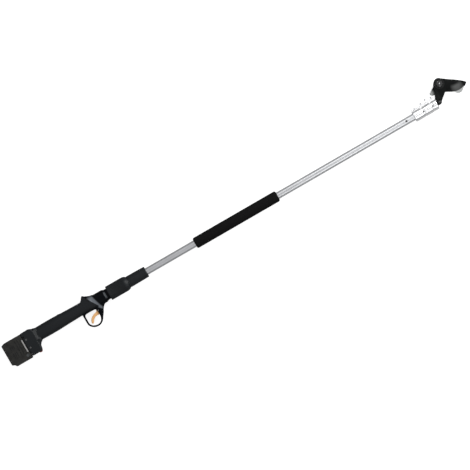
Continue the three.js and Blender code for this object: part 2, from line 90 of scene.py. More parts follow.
# Outlines in X and Y, in mm.
PACK_LINE = [(0, -50), (10, -54), (14, -61.5), (76, -61.5), (76, 31.5), (12, 31.5), (0, 27)]
BASE_LINE = [
    (77, -55.6), (86, -57), (117, -57), (120, -48), (122, -38), (127, -31), (136, -24), (136, 24),
    (125, 27.4), (108, 33.4), (76.6, 32.4),
]
SHOULDER = [(104, -26.5), (120.5, -26.5), (129.5, -21), (129.5, 21), (120.5, 26.5), (104, 26.5)]
GRIP_LINE = [
    (104, 20), (120, 23), (140, 24.6), (170, 25.2), (205, 25), (250, 23.2), (300, 21.8),
    (352, 22.4), (366, 22.4),
]
NOSE_LINE = [(338, 22.2), (360, 23.5), (398, 23.5), (401, 23.2), (406.4, 20), (416, 20)]
HUMP_LINE = [
    (308, 8), (314, 21.6), (321, 28.6), (326, 36), (330.5, 39.4), (336, 34.6), (345, 30.4),
    (354, 26.8), (366, 23.4), (384, 8),
]
GUARD_OUTER = [
    (299.5, -10), (299.5, -38), (299.7, -56), (301.5, -63.5), (307, -71), (318.6, -79), (332, -81),
    (341, -79.2), (348.6, -74.8), (354, -70), (362, -58.5), (370, -47), (375, -38), (383, -28),
    (392, -21), (392, -10),
]
GUARD_INNER = [
    (308, -25.6), (305.8, -31), (305.5, -42), (305.6, -56), (307.5, -62.5), (313, -69), (321, -73),
    (331, -74.8), (341, -72.8), (348.2, -66.2), (352.4, -56), (353.4, -46), (352.6, -36),
    (351.4, -28.4), (348, -24.8), (330, -23.8), (314, -24),
]
CREST = [
    (336, 25, 18), (339.5, 18, 20.6), (344, 11, 22.4), (347.6, 3, 23.2), (350.4, -5, 23.4),
    (353.4, -13, 22), (356, -21, 18.6), (358.6, -29, 14.4), (360, -37, 12), (358, -46, 9.4),
]
TRIGGER_LINE = [
    (351, -19), (358, -19), (362, -30), (361.4, -40), (358, -46.6), (351, -47), (343, -46.4),
    (335, -48.4), (327.4, -54), (321.6, -62.4), (317.4, -64.4), (314.6, -61), (317.6, -51),
    (326, -42), (337, -36.4), (347.4, -33.6), (350, -27),
]
WEB_LINE = [
    (1655, 8), (1655, 27), (1690, 33.6), (1725, 41), (1740, 45), (1752, 53), (1756, 56), (1756, 24),
    (1744, 12), (1744, 8),
]
BLADE_BACK = [
    (1754, -9), (1749, -7.6), (1746.4, -2.5), (1746, 11.5), (1748.6, 23.5), (1755, 35.5),
    (1759.5, 49.5), (1763.5, 61), (1769, 69.6), (1777, 75.8), (1785, 77.4), (1792, 75.6),
    (1800, 69.5), (1810, 62.3), (1820, 54.8), (1840, 41.5), (1850, 33.8), (1862, 24.5),
    (1868, 18.4), (1870.8, 13.6),
]
BLADE_EDGE = [
    (1870.8, 13.6), (1860, 8.4), (1850, 4.9), (1838, 3.2), (1827, 4.2), (1818, 7), (1808, 12),
    (1800, 16.8), (1792, 21.2), (1787, 19.5), (1780, 13.5), (1770, 5.5), (1763, -1), (1759, -6),
    (1754, -9),
]
HOOK_LINE = [
    (1760, 30), (1787, 21.6), (1800, 15.2), (1810, 9.4), (1818, 5), (1822, -0.6), (1828, -5.4),
    (1835, -7.4), (1843, -6), (1850.4, 0.8), (1860, 5.4), (1870, 12.6), (1868, 15.4), (1855, 13.2),
    (1840, 13.4), (1826, 17.6), (1815, 24.4), (1807.6, 33), (1804, 44), (1803.6, 56), (1798.4, 69),
    (1786, 74.6), (1773, 70.6), (1763.4, 58), (1755, 53), (1746, 46.8), (1740, 42.8), (1739, 38),
    (1743, 33), (1750, 30.4),
]
TANG_SEAT = [(1738.3, 70), (1738.3, 37.6), (1742.4, 32), (1750, 29.6), (1762, 29.6), (1762, 70)]
GRIND_CENTRE, GRIND_RADIUS = (1837.0, 66.0), 62.8
SEAM_POINT, SEAM_NORMAL = (353.5, 0.0), Vector((57.0, 34.0, 0.0)).normalized()
DIMPLE = (81, 15.8)
SHELL_SCREWS = {"shell_screw_upper": (87, 4), "shell_screw_lower": (87.5, -27.5)}
WEB_SCREWS = [(1665.6, 23.5), (1693, 28), (1713.4, 32.5), (1734.6, 28.5)]
BARREL_SCREWS = [(1689.4, 0), (1726.4, 0)]
HOOK_SCREWS = [(1771, 41), (1796, 40)]
POLE_SCREW = 1620.6
POWER_BUTTON = 225.0
TRIGGER_PIN = (356, -33)
PIVOT_BORE = 6.3
SLOT_HALF, SLOT_LEAD, SLOT_REACH = 3.45, 0.62, (57.2, 63.8)

# The view: its roll in degrees, its centre in mm, the camera's height in metres and its sensor.
VIEW_ROLL, VIEW_CENTRE, CAMERA_HEIGHT, SENSOR = 30.04, (902.2, -44.3, 0.0), 12.0, 36.0
# Each lamp's name, place, aim, two sides in mm, and radiance.
LAMPS = [
    ("strip 1", (1560, 1000, 1000), (1560, 0, 0), 860, 800, 1.1),
    ("strip -1", (1560, -1000, 1000), (1560, 0, 0), 860, 800, 1.1),
    ("head end light", (3300, 800, 1600), (900, 0, 0), 1700, 1400, 9.0),
    ("head top light", (1640, 20, 1400), (1640, 20, 0), 460, 460, 1.1),
]


# ---- shapes ----
def spun(profile, axis="X", at=(0, 0, 0), segments=96, ring=False):
    """A body of revolution from (place along the axis, radius) points; ring closes the profile."""
    bm = bmesh.new()
    if axis == "X":
        points = [(t, 0, r) for t, r in profile]
    elif axis == "Y":
        points = [(0, t, r) for t, r in profile]
    else:
        points = [(r, 0, t) for t, r in profile]
    verts = [bm.verts.new(p) for p in points]
    pairs = list(zip(verts, verts[1:])) + ([(verts[-1], verts[0])] if ring else [])
    edges = [bm.edges.new(pair) for pair in pairs]
    direction = {"X": (1, 0, 0), "Y": (0, 1, 0), "Z": (0, 0, 1)}[axis]
    bmesh.ops.spin(
        bm, geom=verts + edges, cent=(0, 0, 0), axis=direction, angle=2 * math.pi, steps=segments,
        use_merge=True,
    )
    bmesh.ops.remove_doubles(bm, verts=bm.verts, dist=1e-3)
    bmesh.ops.recalc_face_normals(bm, faces=bm.faces)
    bmesh.ops.translate(bm, verts=bm.verts, vec=at)
    return bm


def bevelled(bm, edges, width, segments=3):
    """Rounds these edges over."""
    bmesh.ops.bevel(
        bm, geom=edges, offset=width, offset_type="OFFSET", segments=segments, profile=0.5, affect="EDGES",
        material=-1, clamp_overlap=True,
    )
    return bm


def plate(line, low, high, rim=0.0, corner=0.0, segments=3):
    """An outline made solid from low to high along Z, its corners and then its two rims rounded."""
    bm = bmesh.new()
    face = bm.faces.new([bm.verts.new((x, y, low)) for x, y in line])
    grown = bmesh.ops.extrude_face_region(bm, geom=[face], use_keep_orig=False)
    top = [v for v in grown["geom"] if isinstance(v, bmesh.types.BMVert)]
    bmesh.ops.translate(bm, verts=top, vec=(0, 0, high - low))
    open_edges = [e for e in bm.edges if len(e.link_faces) == 1]
    if open_edges:
        bmesh.ops.contextual_create(bm, geom=open_edges)
    bmesh.ops.recalc_face_normals(bm, faces=bm.faces)
    if corner:
        upright = [e for e in bm.edges if abs(e.verts[0].co.z - e.verts[1].co.z) > 1e-4]
        bevelled(bm, upright, corner, segments)
    if rim:
        rims = [e for e in bm.edges if abs(e.verts[0].co.z - e.verts[1].co.z) < 1e-4]
        bevelled(bm, rims, rim, segments)
    return bm


def rectangle(left, right, low, high):
    return [(left, low), (right, low), (right, high), (left, high)]


def flattened(bm, ratio, rise=0.0):
    """Squeezes a shape through its depth, then moves it across the pole."""
    bmesh.ops.scale(bm, vec=(1, 1, ratio), verts=bm.verts)
    bmesh.ops.translate(bm, vec=(0, rise, 0), verts=bm.verts)
    return bm


def brick(low, high, edge=0.0, segments=2):
    """A box between two corners with its edges rounded."""
    bm = bmesh.new()
    bmesh.ops.create_cube(bm, size=1.0)
    size = [b - a for a, b in zip(low, high)]
    bmesh.ops.scale(bm, verts=bm.verts, vec=size)
    bmesh.ops.translate(bm, verts=bm.verts, vec=[(a + b) / 2 for a, b in zip(low, high)])
    return bevelled(bm, bm.edges[:], edge, segments) if edge else bm


def smooth_line(points, steps=4, closed=True):
    """A smooth curve through the points."""
    count = len(points)
    made = []
    for i in range(count if closed else count - 1):
        pick = [
            points[(i + k) % count] if closed else points[min(max(i + k, 0), count - 1)]
            for k in (-1, 0, 1, 2)
        ]
        a, b, c, d = (Vector(p) for p in pick)
        for s in range(steps):
            t = s / steps
            made.append(0.5 * (2 * b + (c - a) * t + (2 * a - 5 * b + 4 * c - d) * t * t
                               + (3 * b - 3 * c + d - a) * t ** 3))
    if not closed:
        made.append(Vector(points[-1]))
    return [tuple(p) for p in made]


def mesh_of(bm, name="scratch"):
    """The bmesh as a mesh; the bmesh is freed."""
    mesh = bpy.data.meshes.new(name)
    bm.to_mesh(mesh)
    bm.free()
    return mesh


def shown(name, data):
    """A new object that holds the data, linked into the scene."""
    obj = bpy.data.objects.new(name, data)
    bpy.context.scene.collection.objects.link(obj)
    return obj


def joined(*shapes):
    """Several shapes in one mesh, each still closed on its own."""
    whole = bmesh.new()
    for shape in shapes:
        mesh = mesh_of(shape)
        whole.from_mesh(mesh)
        bpy.data.meshes.remove(mesh)
    return whole


def scratch(bm):
    """A throwaway object that holds bm, for a modifier to work on."""
    return shown("scratch", mesh_of(bm))


def worked(obj, *others):
    """The mesh that obj's modifiers make; the throwaway objects are removed."""
    bpy.context.view_layer.update()
    made = bmesh.new()
    made.from_object(obj, bpy.context.evaluated_depsgraph_get())
    for done in (obj, *others):
        mesh = done.data
        bpy.data.objects.remove(done)
        bpy.data.meshes.remove(mesh)
    if not made.faces:
        raise RuntimeError("a shape came out empty")
    return made


def combined(bm, other, operation="DIFFERENCE"):
    """bm with the other shape cut from it, added to it, or what the two share."""
    base, tool = scratch(bm), scratch(other)
    step = base.modifiers.new("combine", "BOOLEAN")
    step.operation, step.solver, step.object = operation, "EXACT", tool
    return worked(base, tool)


def cut_by(bm, *cutters):
    """bm with each of these shapes cut from it in turn."""
    for cutter in cutters:
        bm = combined(bm, cutter)
    return bm


def moulded(bm, voxel, rounds):
    """Overlapping shapes fused into one skin, with their corners blended as a moulding's are."""
    base = scratch(bm)
    fuse = base.modifiers.new("fuse", "REMESH")
    fuse.mode, fuse.voxel_size = "VOXEL", voxel
    soften = base.modifiers.new("soften", "SMOOTH")
    soften.factor, soften.iterations = 0.5, rounds
    return worked(base)


def sliced(bm, point, normal):
    """What lies on the normal's side of a plane, closed over the cut."""
    cut = bmesh.ops.bisect_plane(
        bm, geom=bm.verts[:] + bm.edges[:] + bm.faces[:], plane_co=point, plane_no=normal, clear_inner=True
    )
    edges = [g for g in cut["geom_cut"] if isinstance(g, bmesh.types.BMEdge) and g.is_valid]
    bmesh.ops.holes_fill(bm, edges=edges, sides=0)
    return bm


def place(bm, name, body, material, crease=35.0, second=None):
    """Moves a finished shape into the frame as the piece that stands for a node and rides on a body.

    second, where given, picks the faces that take the second material.
    """
    bmesh.ops.remove_doubles(bm, verts=bm.verts, dist=2e-3)
    bmesh.ops.recalc_face_normals(bm, faces=bm.faces)
    for face in bm.faces:
        face.material_index = int(bool(second and second(face)))
    bm.transform(TO_FRAME)
    mesh = mesh_of(bm, name)
    mesh.shade_smooth()
    mesh.set_sharp_from_angle(angle=math.radians(crease))
    for each in material if isinstance(material, (list, tuple)) else [material]:
        mesh.materials.append(each)
    obj = shown(name, mesh)
    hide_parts(name)
    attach(obj, body)
    return obj


def from_node(node):
    """A clean copy of a CAD node's mesh, back in millimetres along the pole."""
    bm = bmesh.new()
    bm.from_mesh(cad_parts[node].data)
    bm.transform(TO_FRAME.inverted())
    bmesh.ops.remove_doubles(bm, verts=bm.verts, dist=2e-3)
    bmesh.ops.dissolve_limit(bm, angle_limit=math.radians(1), verts=bm.verts, edges=bm.edges)
    return bm


def eased(node, width=0.35, angle=32.0):
    """A CAD node's shape with its sharp edges broken."""
    bm = from_node(node)
    sharp = [e for e in bm.edges if len(e.link_faces) == 2 and e.calc_face_angle(0.0) > math.radians(angle)]
    return bevelled(bm, sharp, width, 2)


def screw_shape(x, y, top, head, thick, shank, length, key=0.5, dome=0.25):
    """A round-headed screw along Z with a six-sided key hole; top is its head's face."""
    profile = [
        (top - length, 0), (top - length, shank * 0.6), (top - length + 0.6, shank), (top - thick,
        shank), (top - thick, head), (top - dome, head), (top - dome * 0.3, head * 0.93), (top,
        head * 0.8), (top, 0),
    ]
    body = spun(profile, "Z", (x, y, 0), 40)
    recess = spun(
        [(top - thick * 0.6, 0), (top - thick * 0.6, head * key), (top + 1, head * key),
        (top + 1, 0)], "Z", (x, y, 0), 6,
    )
    return combined(body, recess)


def place_screws(kind, spots, sizes, material):
    """Places like screws, numbered from 1; sizes are what screw_shape takes after X and Y."""
    for i, (x, y) in enumerate(spots, 1):
        place(screw_shape(x, y, *sizes), f"{kind}_{i}", "tool", material)


def hole(x, y, low, high, radius, segments=40):
    """A round cutter along Z."""
    return spun([(low, 0), (low, radius), (high, radius), (high, 0)], "Z", (x, y, 0), segments)


# ---- materials ----
FLOAT, VECTOR, COLOUR = "NodeSocketFloat", "NodeSocketVector", "NodeSocketColor"


def add(tree, kind, **settings):
    node = tree.nodes.new(kind)
    for key, value in settings.items():
        setattr(node, key, value)
    return node


def feed(tree, source, target):
    tree.links.new(source, target)


def group_of(name, inputs, outputs):
    """An empty node group with these named sockets, and its two ends."""
    tree = bpy.data.node_groups.new(name, "ShaderNodeTree")
    for label, kind, default in inputs:
        made = tree.interface.new_socket(label, in_out="INPUT", socket_type=kind)
        if default is not None:
            made.default_value = default
    for label, kind in outputs:
        tree.interface.new_socket(label, in_out="OUTPUT", socket_type=kind)
    return tree, add(tree, "NodeGroupInput"), add(tree, "NodeGroupOutput")


def maths(tree, operation, first, second=0.0, third=None):
    """One Math node; each operand is a socket or a number."""
    node = add(tree, "ShaderNodeMath", operation=operation)
    for socket, value in zip(node.inputs, (first, second, third)):
        if isinstance(value, (int, float)):
            socket.default_value = value
        elif value is not None:
            feed(tree, value, socket)
    return node.outputs[0]


def scaled(tree, operation, first, second):
    """One Vector Math node; each operand is a socket or three numbers."""
    node = add(tree, "ShaderNodeVectorMath", operation=operation)
    for socket, value in zip(node.inputs, (first, second)):
        if isinstance(value, (tuple, list)):
            socket.default_value = value
        else:
            feed(tree, value, socket)
    return node.outputs["Value"] if operation == "LENGTH" else node.outputs[0]


def noise(tree, vector, scale, detail=3.0, roughness=0.55):
    node = add(tree, "ShaderNodeTexNoise")
    feed(tree, vector, node.inputs["Vector"])
    for label, value in (("Scale", scale), ("Detail", detail), ("Roughness", roughness)):
        if isinstance(value, (int, float)):
            node.inputs[label].default_value = value
        else:
            feed(tree, value, node.inputs[label])
    return node.outputs["Fac"]


def blended(tree, fac, a, b, mode="MIX"):
    """Two colours mixed by a factor."""
    node = add(tree, "ShaderNodeMix", data_type="RGBA", blend_type=mode)
    for socket, value in zip((node.inputs[0], node.inputs[6], node.inputs[7]), (fac, a, b)):
        if isinstance(value, (int, float)):
            socket.default_value = value
        elif isinstance(value, (tuple, list)):
            socket.default_value = (*value[:3], 1.0)
        else:
            feed(tree, value, socket)
    return node.outputs[2]


def mottle_group():
    """Uneven colour and gloss over a part, and the fine grain of its skin."""
    tree, start, end = group_of("Mottle", [
        ("Vector", VECTOR, None), ("Colour", COLOUR, None),
        ("Spread", FLOAT, 0.12), ("Patch", FLOAT, 40.0), ("Grain", FLOAT, 1800.0),
        ("Roughness", FLOAT, 0.5), ("Uneven", FLOAT, 0.1),
    ], [("Colour", COLOUR), ("Roughness", FLOAT), ("Height", FLOAT)])
    patch = noise(tree, start.outputs["Vector"], start.outputs["Patch"], 4.0)
    grain = noise(tree, start.outputs["Vector"], start.outputs["Grain"], 2.0, 0.6)
    swing = maths(tree, "MULTIPLY", maths(tree, "SUBTRACT", patch, 0.5), start.outputs["Spread"])
    fleck = maths(tree, "MULTIPLY", maths(tree, "SUBTRACT", grain, 0.5), start.outputs["Spread"])
    gain = maths(tree, "ADD", maths(tree, "MULTIPLY_ADD", swing, 3.0, 1.0), fleck)
    shade = add(tree, "ShaderNodeCombineColor")
    for channel in range(3):
        feed(tree, gain, shade.inputs[channel])
    feed(
        tree, blended(tree, 1.0, start.outputs["Colour"], shade.outputs[0], "MULTIPLY"),
        end.inputs["Colour"],
    )
    swing = maths(tree, "MULTIPLY", maths(tree, "SUBTRACT", patch, 0.5), start.outputs["Uneven"])
    feed(tree, maths(tree, "MULTIPLY_ADD", swing, 2.0, start.outputs["Roughness"]), end.inputs["Roughness"])
    feed(tree, grain, end.inputs["Height"])
    return tree


def wear_group():
    """Rubbed corners: where the surface turns outwards, broken up by noise."""
    tree, start, end = group_of("Rubbed corners", [
        ("Vector", VECTOR, None), ("Amount", FLOAT, 0.5), ("Break up", FLOAT, 350.0),
    ], [("Mask", FLOAT)])
    geometry = add(tree, "ShaderNodeNewGeometry")
    corner = maths(tree, "MULTIPLY", maths(tree, "SUBTRACT", geometry.outputs["Pointiness"], 0.53), 14.0)
    broken = maths(
        tree, "MULTIPLY", corner, noise(tree, start.outputs["Vector"], start.outputs["Break up"],
        3.0),
    )
    held = add(tree, "ShaderNodeClamp")
    feed(tree, maths(tree, "MULTIPLY", broken, start.outputs["Amount"]), held.inputs["Value"])
    feed(tree, held.outputs[0], end.inputs["Mask"])
    return tree


def scratch_group():
    """Fine lines drawn along the pole, as on drawn tube and ground steel."""
    tree, start, end = group_of("Drawn lines", [
        ("Vector", VECTOR, None), ("Stretch", VECTOR, (0.02, 1.0, 1.0)),
        ("Scale", FLOAT, 2600.0),
    ], [("Lines", FLOAT)])
    pulled = scaled(tree, "MULTIPLY", start.outputs["Vector"], start.outputs["Stretch"])
    feed(tree, noise(tree, pulled, start.outputs["Scale"], 2.0, 0.6), end.inputs["Lines"])
    return tree


def near_group():
    """A soft-edged mask that is one beyond a radius, in the XY plane, from a centre."""
    tree, start, end = group_of("Beyond radius", [
        ("Vector", VECTOR, None), ("Centre", VECTOR, (0.0, 0.0, 0.0)),
        ("Radius", FLOAT, 0.05), ("Softness", FLOAT, 0.001),
    ], [("Mask", FLOAT)])
    offset = scaled(tree, "SUBTRACT", start.outputs["Vector"], start.outputs["Centre"])
    flat = scaled(tree, "MULTIPLY", offset, (1.0, 1.0, 0.0))
    reach = scaled(tree, "LENGTH", flat, (0.0, 0.0, 0.0))
    past = maths(
        tree, "DIVIDE", maths(tree, "SUBTRACT", reach, start.outputs["Radius"]),
        start.outputs["Softness"],
    )
    held = add(tree, "ShaderNodeClamp")
    feed(tree, maths(tree, "ADD", past, 0.5), held.inputs["Value"])
    feed(tree, held.outputs[0], end.inputs["Mask"])
    return tree


GROUPS = {}
FINISHES = {}


def group_node(tree, name, **values):
    makers = {"Mottle": mottle_group, "Rubbed corners": wear_group, "Drawn lines": scratch_group,
              "Beyond radius": near_group}
    if name not in GROUPS:
        GROUPS[name] = makers[name]()
    node = add(tree, "ShaderNodeGroup", node_tree=GROUPS[name])
    for label, value in values.items():
        socket = node.inputs[label.replace("_", " ")]
        socket.default_value = (*value, 1.0) if socket.type == "RGBA" and len(value) == 3 else value
    return node


def finish(name, colour, roughness=0.5, metallic=0.0, spread=0.1, patch=40.0, grain=1800.0, uneven=0.1,
           bump=0.1, depth=0.0001, rubbed=0.0, rubbed_colour=(0.3, 0.3, 0.3), lines=0.0,
           stretch=(0.02, 1.0, 1.0), coat=0.0, specular=0.5):
    """A material: mottled colour and gloss, a grained skin, rubbed corners and drawn lines."""
    if name in FINISHES:
        return FINISHES[name]
    material = bpy.data.materials.new(name)
    material.use_nodes = True
    tree = material.node_tree
    shader = tree.nodes["Principled BSDF"]
    where = add(tree, "ShaderNodeTexCoord").outputs["Object"]
    mottle = group_node(
        tree, "Mottle", Colour=colour, Spread=spread, Patch=patch, Grain=grain, Roughness=roughness,
        Uneven=uneven,
    )
    feed(tree, where, mottle.inputs["Vector"])
    tint, height = mottle.outputs["Colour"], mottle.outputs["Height"]
    if rubbed:
        wear = group_node(tree, "Rubbed corners", Amount=rubbed)
        feed(tree, where, wear.inputs["Vector"])
        tint = blended(tree, wear.outputs["Mask"], tint, rubbed_colour)
    if lines:
        drawn = group_node(tree, "Drawn lines", Stretch=stretch)
        feed(tree, where, drawn.inputs["Vector"])
        height = maths(tree, "MULTIPLY_ADD", drawn.outputs["Lines"], lines, height)
    feed(tree, tint, shader.inputs["Base Color"])
    feed(tree, mottle.outputs["Roughness"], shader.inputs["Roughness"])
    rise = add(tree, "ShaderNodeBump")
    rise.inputs["Strength"].default_value = bump
    rise.inputs["Distance"].default_value = depth
    feed(tree, height, rise.inputs["Height"])
    feed(tree, rise.outputs["Normal"], shader.inputs["Normal"])
    shader.inputs["Metallic"].default_value = metallic
    shader.inputs["Coat Weight"].default_value = coat
    shader.inputs["Coat Roughness"].default_value = 0.15
    shader.inputs["Specular IOR Level"].default_value = specular
    FINISHES[name] = material
    return material


def masked(material, colour, metallic, roughness, spots):
    """Lays another colour, metalness and roughness over a finish where all these round masks hold.

    A spot is (centre, radius, softness, inside): the mask holds beyond the radius, or within it.
    """
    tree = material.node_tree
    shader = tree.nodes["Principled BSDF"]
    where = tree.nodes["Texture Coordinate"].outputs["Object"]
    mask = 1.0
    for centre, radius, softness, inside in spots:
        node = group_node(
            tree, "Beyond radius", Centre=tuple(TO_FRAME @ Vector((*centre, 0.0))),
            Radius=radius * MM, Softness=softness * MM,
        )
        feed(tree, where, node.inputs["Vector"])
        held = maths(tree, "SUBTRACT", 1.0, node.outputs["Mask"]) if inside else node.outputs["Mask"]
        mask = maths(tree, "MULTIPLY", held, mask)
    bare_metal = shader.inputs["Metallic"]
    before = bare_metal.links[0].from_socket if bare_metal.links else 0.0
    feed(tree, maths(tree, "MAXIMUM", maths(tree, "MULTIPLY", mask, metallic), before), bare_metal)
    feed(tree, blended(tree, mask, shader.inputs["Base Color"].links[0].from_socket, colour),
         shader.inputs["Base Color"])
    dull = shader.inputs["Roughness"].links[0].from_socket
    gap = maths(tree, "SUBTRACT", roughness, dull)
    feed(tree, maths(tree, "MULTIPLY_ADD", gap, mask, dull), shader.inputs["Roughness"])
    return material


def settings():
    return bpy.context.scene.pole_pruner


def handle_plastic():
    return finish(
        "moulded plastic", settings().handle_colour, 0.5, spread=0.2, patch=22.0, grain=2600.0,
        bump=0.22, depth=0.00012, rubbed=0.35, rubbed_colour=(0.03, 0.034, 0.038), specular=0.3,
    )


def gloss_plastic():
    """Near-black gloss, with a painted highlight as a paler satin band along the crest's flank and another
    round the front rim.
    """
    made = finish("gloss plastic", settings().nose_colour, 0.27, spread=0.12, patch=30.0, grain=900.0,
                  uneven=0.06, bump=0.03, rubbed=0.2, rubbed_colour=(0.02, 0.024, 0.028), specular=0.1)
    # painted highlight: a paler satin band along the crest's flank, where the light catches the nose
    flank = [((603.7, 164.9), 305.5, 4, True), ((654.9, 82.9), 300.5, 5, False), ((358, -8), 31, 12, True)]
    masked(made, (0.145, 0.16, 0.176), 0.0, 0.4, flank)
    # painted highlight: a paler band round the front rim, where the light catches its slope
    rim = [((600, 1), 199, 2, True), ((600, 1), 192.5, 2, False), ((404, 1), 11, 6, True)]
    return masked(made, (0.085, 0.094, 0.1), 0.0, 0.35, rim)


def battery_plastic():
    return finish(
        "battery plastic", settings().battery_colour, 0.6, spread=0.8, patch=62.0, grain=2200.0,
        uneven=0.12, bump=0.3, depth=0.00014, rubbed=0.4, rubbed_colour=(0.06, 0.058, 0.052),
        specular=0.3,
    )


def dark_plastic():
    return finish(
        "dark plastic", (0.006, 0.0065, 0.007), 0.55, spread=0.15, grain=2400.0, bump=0.2,
        specular=0.3,
    )


def mid_plastic():
    return finish("mid grey plastic", (0.062, 0.068, 0.07), 0.45, grain=2000.0, bump=0.12, specular=0.3)


def light_plastic():
    return finish("light grey plastic", (0.36, 0.355, 0.345), 0.45, spread=0.08, grain=2000.0, bump=0.12)


def red_plastic():
    return finish("red plastic", (0.24, 0.045, 0.035), 0.45, spread=0.12, grain=2000.0, bump=0.12)


def orange_plastic():
    return finish("orange plastic", settings().trigger_colour, 0.38, bump=0.08)


def foam_rubber():
    return finish("closed cell foam", settings().foam_colour, 0.95, spread=0.5, patch=260.0, grain=1300.0,
                  uneven=0.05, bump=0.75, depth=0.0005, specular=0.08)


def drawn_aluminium():
    return finish(
        "drawn aluminium", settings().tube_colour, 0.3, 0.95, spread=0.05, patch=12.0, grain=1500.0,
        uneven=0.08, bump=0.08, depth=0.00006, lines=1.6,
    )


def cast_aluminium():
    return finish(
        "cast aluminium", (0.93, 0.935, 0.94), 0.23, 0.97, spread=0.06, patch=60.0, grain=1700.0,
        rubbed=0.2, rubbed_colour=(0.85, 0.85, 0.85),
    )


def bright_steel():
    return finish("bright steel", (0.3, 0.31, 0.31), 0.3, 1.0, patch=120.0, grain=2200.0, uneven=0.14,
                  bump=0.08, lines=0.5, stretch=(1.0, 0.05, 1.0))


def black_steel():
    return finish("black oxide steel", (0.012, 0.012, 0.013), 0.42, spread=0.2, patch=150.0, grain=2200.0,
                  uneven=0.12, rubbed=0.8, rubbed_colour=(0.09, 0.09, 0.09), specular=0.4)


def dull_steel():
    return finish("dull zinc steel", (0.11, 0.11, 0.108), 0.45, 0.5, spread=0.15, patch=150.0, grain=2200.0,
                  uneven=0.12)


def blade_coating(name, roughness, **lines):
    return finish(
        name, settings().blade_colour, roughness, spread=0.25, patch=60.0, grain=2400.0,
        uneven=0.12, bump=0.12, rubbed=0.5, rubbed_colour=(0.06, 0.06, 0.06), specular=0.08, **lines,
    )


def coated_steel():
    """Black coating, with bare ground steel along the cutting edge; the soft round patch that keeps it to
    the middle of the edge is a painted highlight.
    """
    made = blade_coating("coated blade steel", 0.34, lines=0.6, stretch=(1.0, 0.06, 1.0))
    # bare ground steel beyond the grind's radius, held inside a soft round patch mid-edge that is a painted
    # highlight
    return masked(
        made, (0.11, 0.113, 0.11), 0.9, 0.36, [(GRIND_CENTRE, 41, 10, False),
        ((1834, 18.5), 15, 18, True)],
    )


def hook_steel():
    """Black coating, with a painted sheen as a soft paler patch on the tang and a painted highlight as a
    pale bare patch over the hook's belly.
    """
    made = blade_coating("coated hook steel", 0.42)
    # painted sheen: a soft paler patch on the tang beside the housing
    masked(made, (0.33, 0.34, 0.33), 0.9, 0.5, [((1737, 41), 13, 14, True)])
    # painted highlight: a pale bare-metal patch over the hook's belly
    return masked(made, (0.46, 0.47, 0.46), 0.9, 0.4, [((1834, 9), 24, 2, True)])


def plain_brass():
    return finish("brass", (0.5, 0.33, 0.1), 0.32, 1.0, spread=0.12, patch=90.0, grain=2000.0, bump=0.06)


def board_green():
    return finish(
        "circuit board", (0.02, 0.11, 0.05), 0.4, spread=0.25, patch=300.0, grain=2600.0, bump=0.3,
        coat=0.3,
    )


def cable_black():
    return finish("cable sheath", (0.012, 0.012, 0.013), 0.5, grain=1500.0, bump=0.08)


# ---- pieces ----
def pack_block():
    block = plate(PACK_LINE, -HALF_DEPTH, HALF_DEPTH, rim=4.6, corner=2.4, segments=5)
    band = combined(plate(PACK_LINE, -0.35, 0.35), plate(PACK_LINE, -1, 1), "INTERSECT")
    inner = [(x + 0.6 * (1 if x < 40 else -1), y + 0.6 * (1 if y < 0 else -1)) for x, y in PACK_LINE]
    return combined(block, combined(band, plate(inner, -2, 2)))


def build_battery():
    block = pack_block()
    case = sliced(block.copy(), (12.1, 0, 0), (1, 0, 0))
    slot = joined(
        brick((69.1, -40.5, -17.5), (73.5, 60, 17.5)),
        brick((72, -40.5, -12.5), (90, 60, 12.5)),
        brick((73.8, -57, -5.6), (90, -30, 5.6)),
    )
    seats = joined(
        plate(rectangle(20, 66, -38, 22), HALF_DEPTH - 1, 40, corner=2.0),
        plate(rectangle(70, 75, -36, 11.5), HALF_DEPTH - 1, 40, corner=1.6),
        hole(66, -46, 20, 40, 5.9),
    )
    grooves = joined(*(
        brick((20 + 7.5 * i, side - 1.2, -15), (23 + 7.5 * i, side + 1.2, 15), 0.5)
        for i in range(6) for side in (31.5, -61.5)
    ))
    back_seat = joined(
        *(brick((20 + 9 * i, -42, -HALF_DEPTH - 1), (23 + 9 * i, 16, -HALF_DEPTH + 0.9), 0.4)
        for i in range(5))
    )
    case = cut_by(case, moulded(slot, 0.5, 0), seats, grooves, back_seat)
    place(case, "battery_case", "battery", battery_plastic())
    cap = sliced(block, (11.8, 0, 0), (-1, 0, 0))
    vents = joined(*(brick((-1, -34 + 8 * i, -16), (1.2, -31 + 8 * i, 16), 0.4) for i in range(7)))
    place(combined(cap, vents), "battery_end_cap", "battery", battery_plastic())
    panel = plate(rectangle(20.3, 65.7, -37.7, 21.7), 25.6, 26.3, rim=0.25, corner=1.8)
    wells = joined(
        *(
            brick((x, y, 25.75), (x + 3, y + 12.5, 28), 0.6)
            for x in (46.5, 55.5) for y in (-34.5, -20.5, -6.5, 7.5)
        ),
        *(
            brick((22.5 + 6.4 * i, y, 25.75), (25.5 + 6.4 * i, y + 16, 28), 0.6)
            for i in range(3) for y in (-31, -6)
        )
    )
    place(
        combined(panel, wells), "battery_panel", "battery", [battery_plastic(), dark_plastic()],
        second=lambda face: face.calc_center_median().z < 26.2,
    )
    # painted highlight: a pale grey strip on the pack's side that stands for the light caught along its
    # edge
    highlight_stripe = plate(rectangle(70.3, 74.7, -35.7, 11.2), 25.6, 26.3, rim=0.3, corner=1.5)
    place(highlight_stripe, "battery_stripe", "battery", light_plastic())
    button = spun([(22, 0), (22, 5.6), (25.9, 5.6), (26.3, 5.2), (26.3, 3.6), (25.9, 3.2), (25.9, 0)], "Z",
                  (66, -46, 0), 48)
    place(button, "gauge_button", "gauge", mid_plastic())


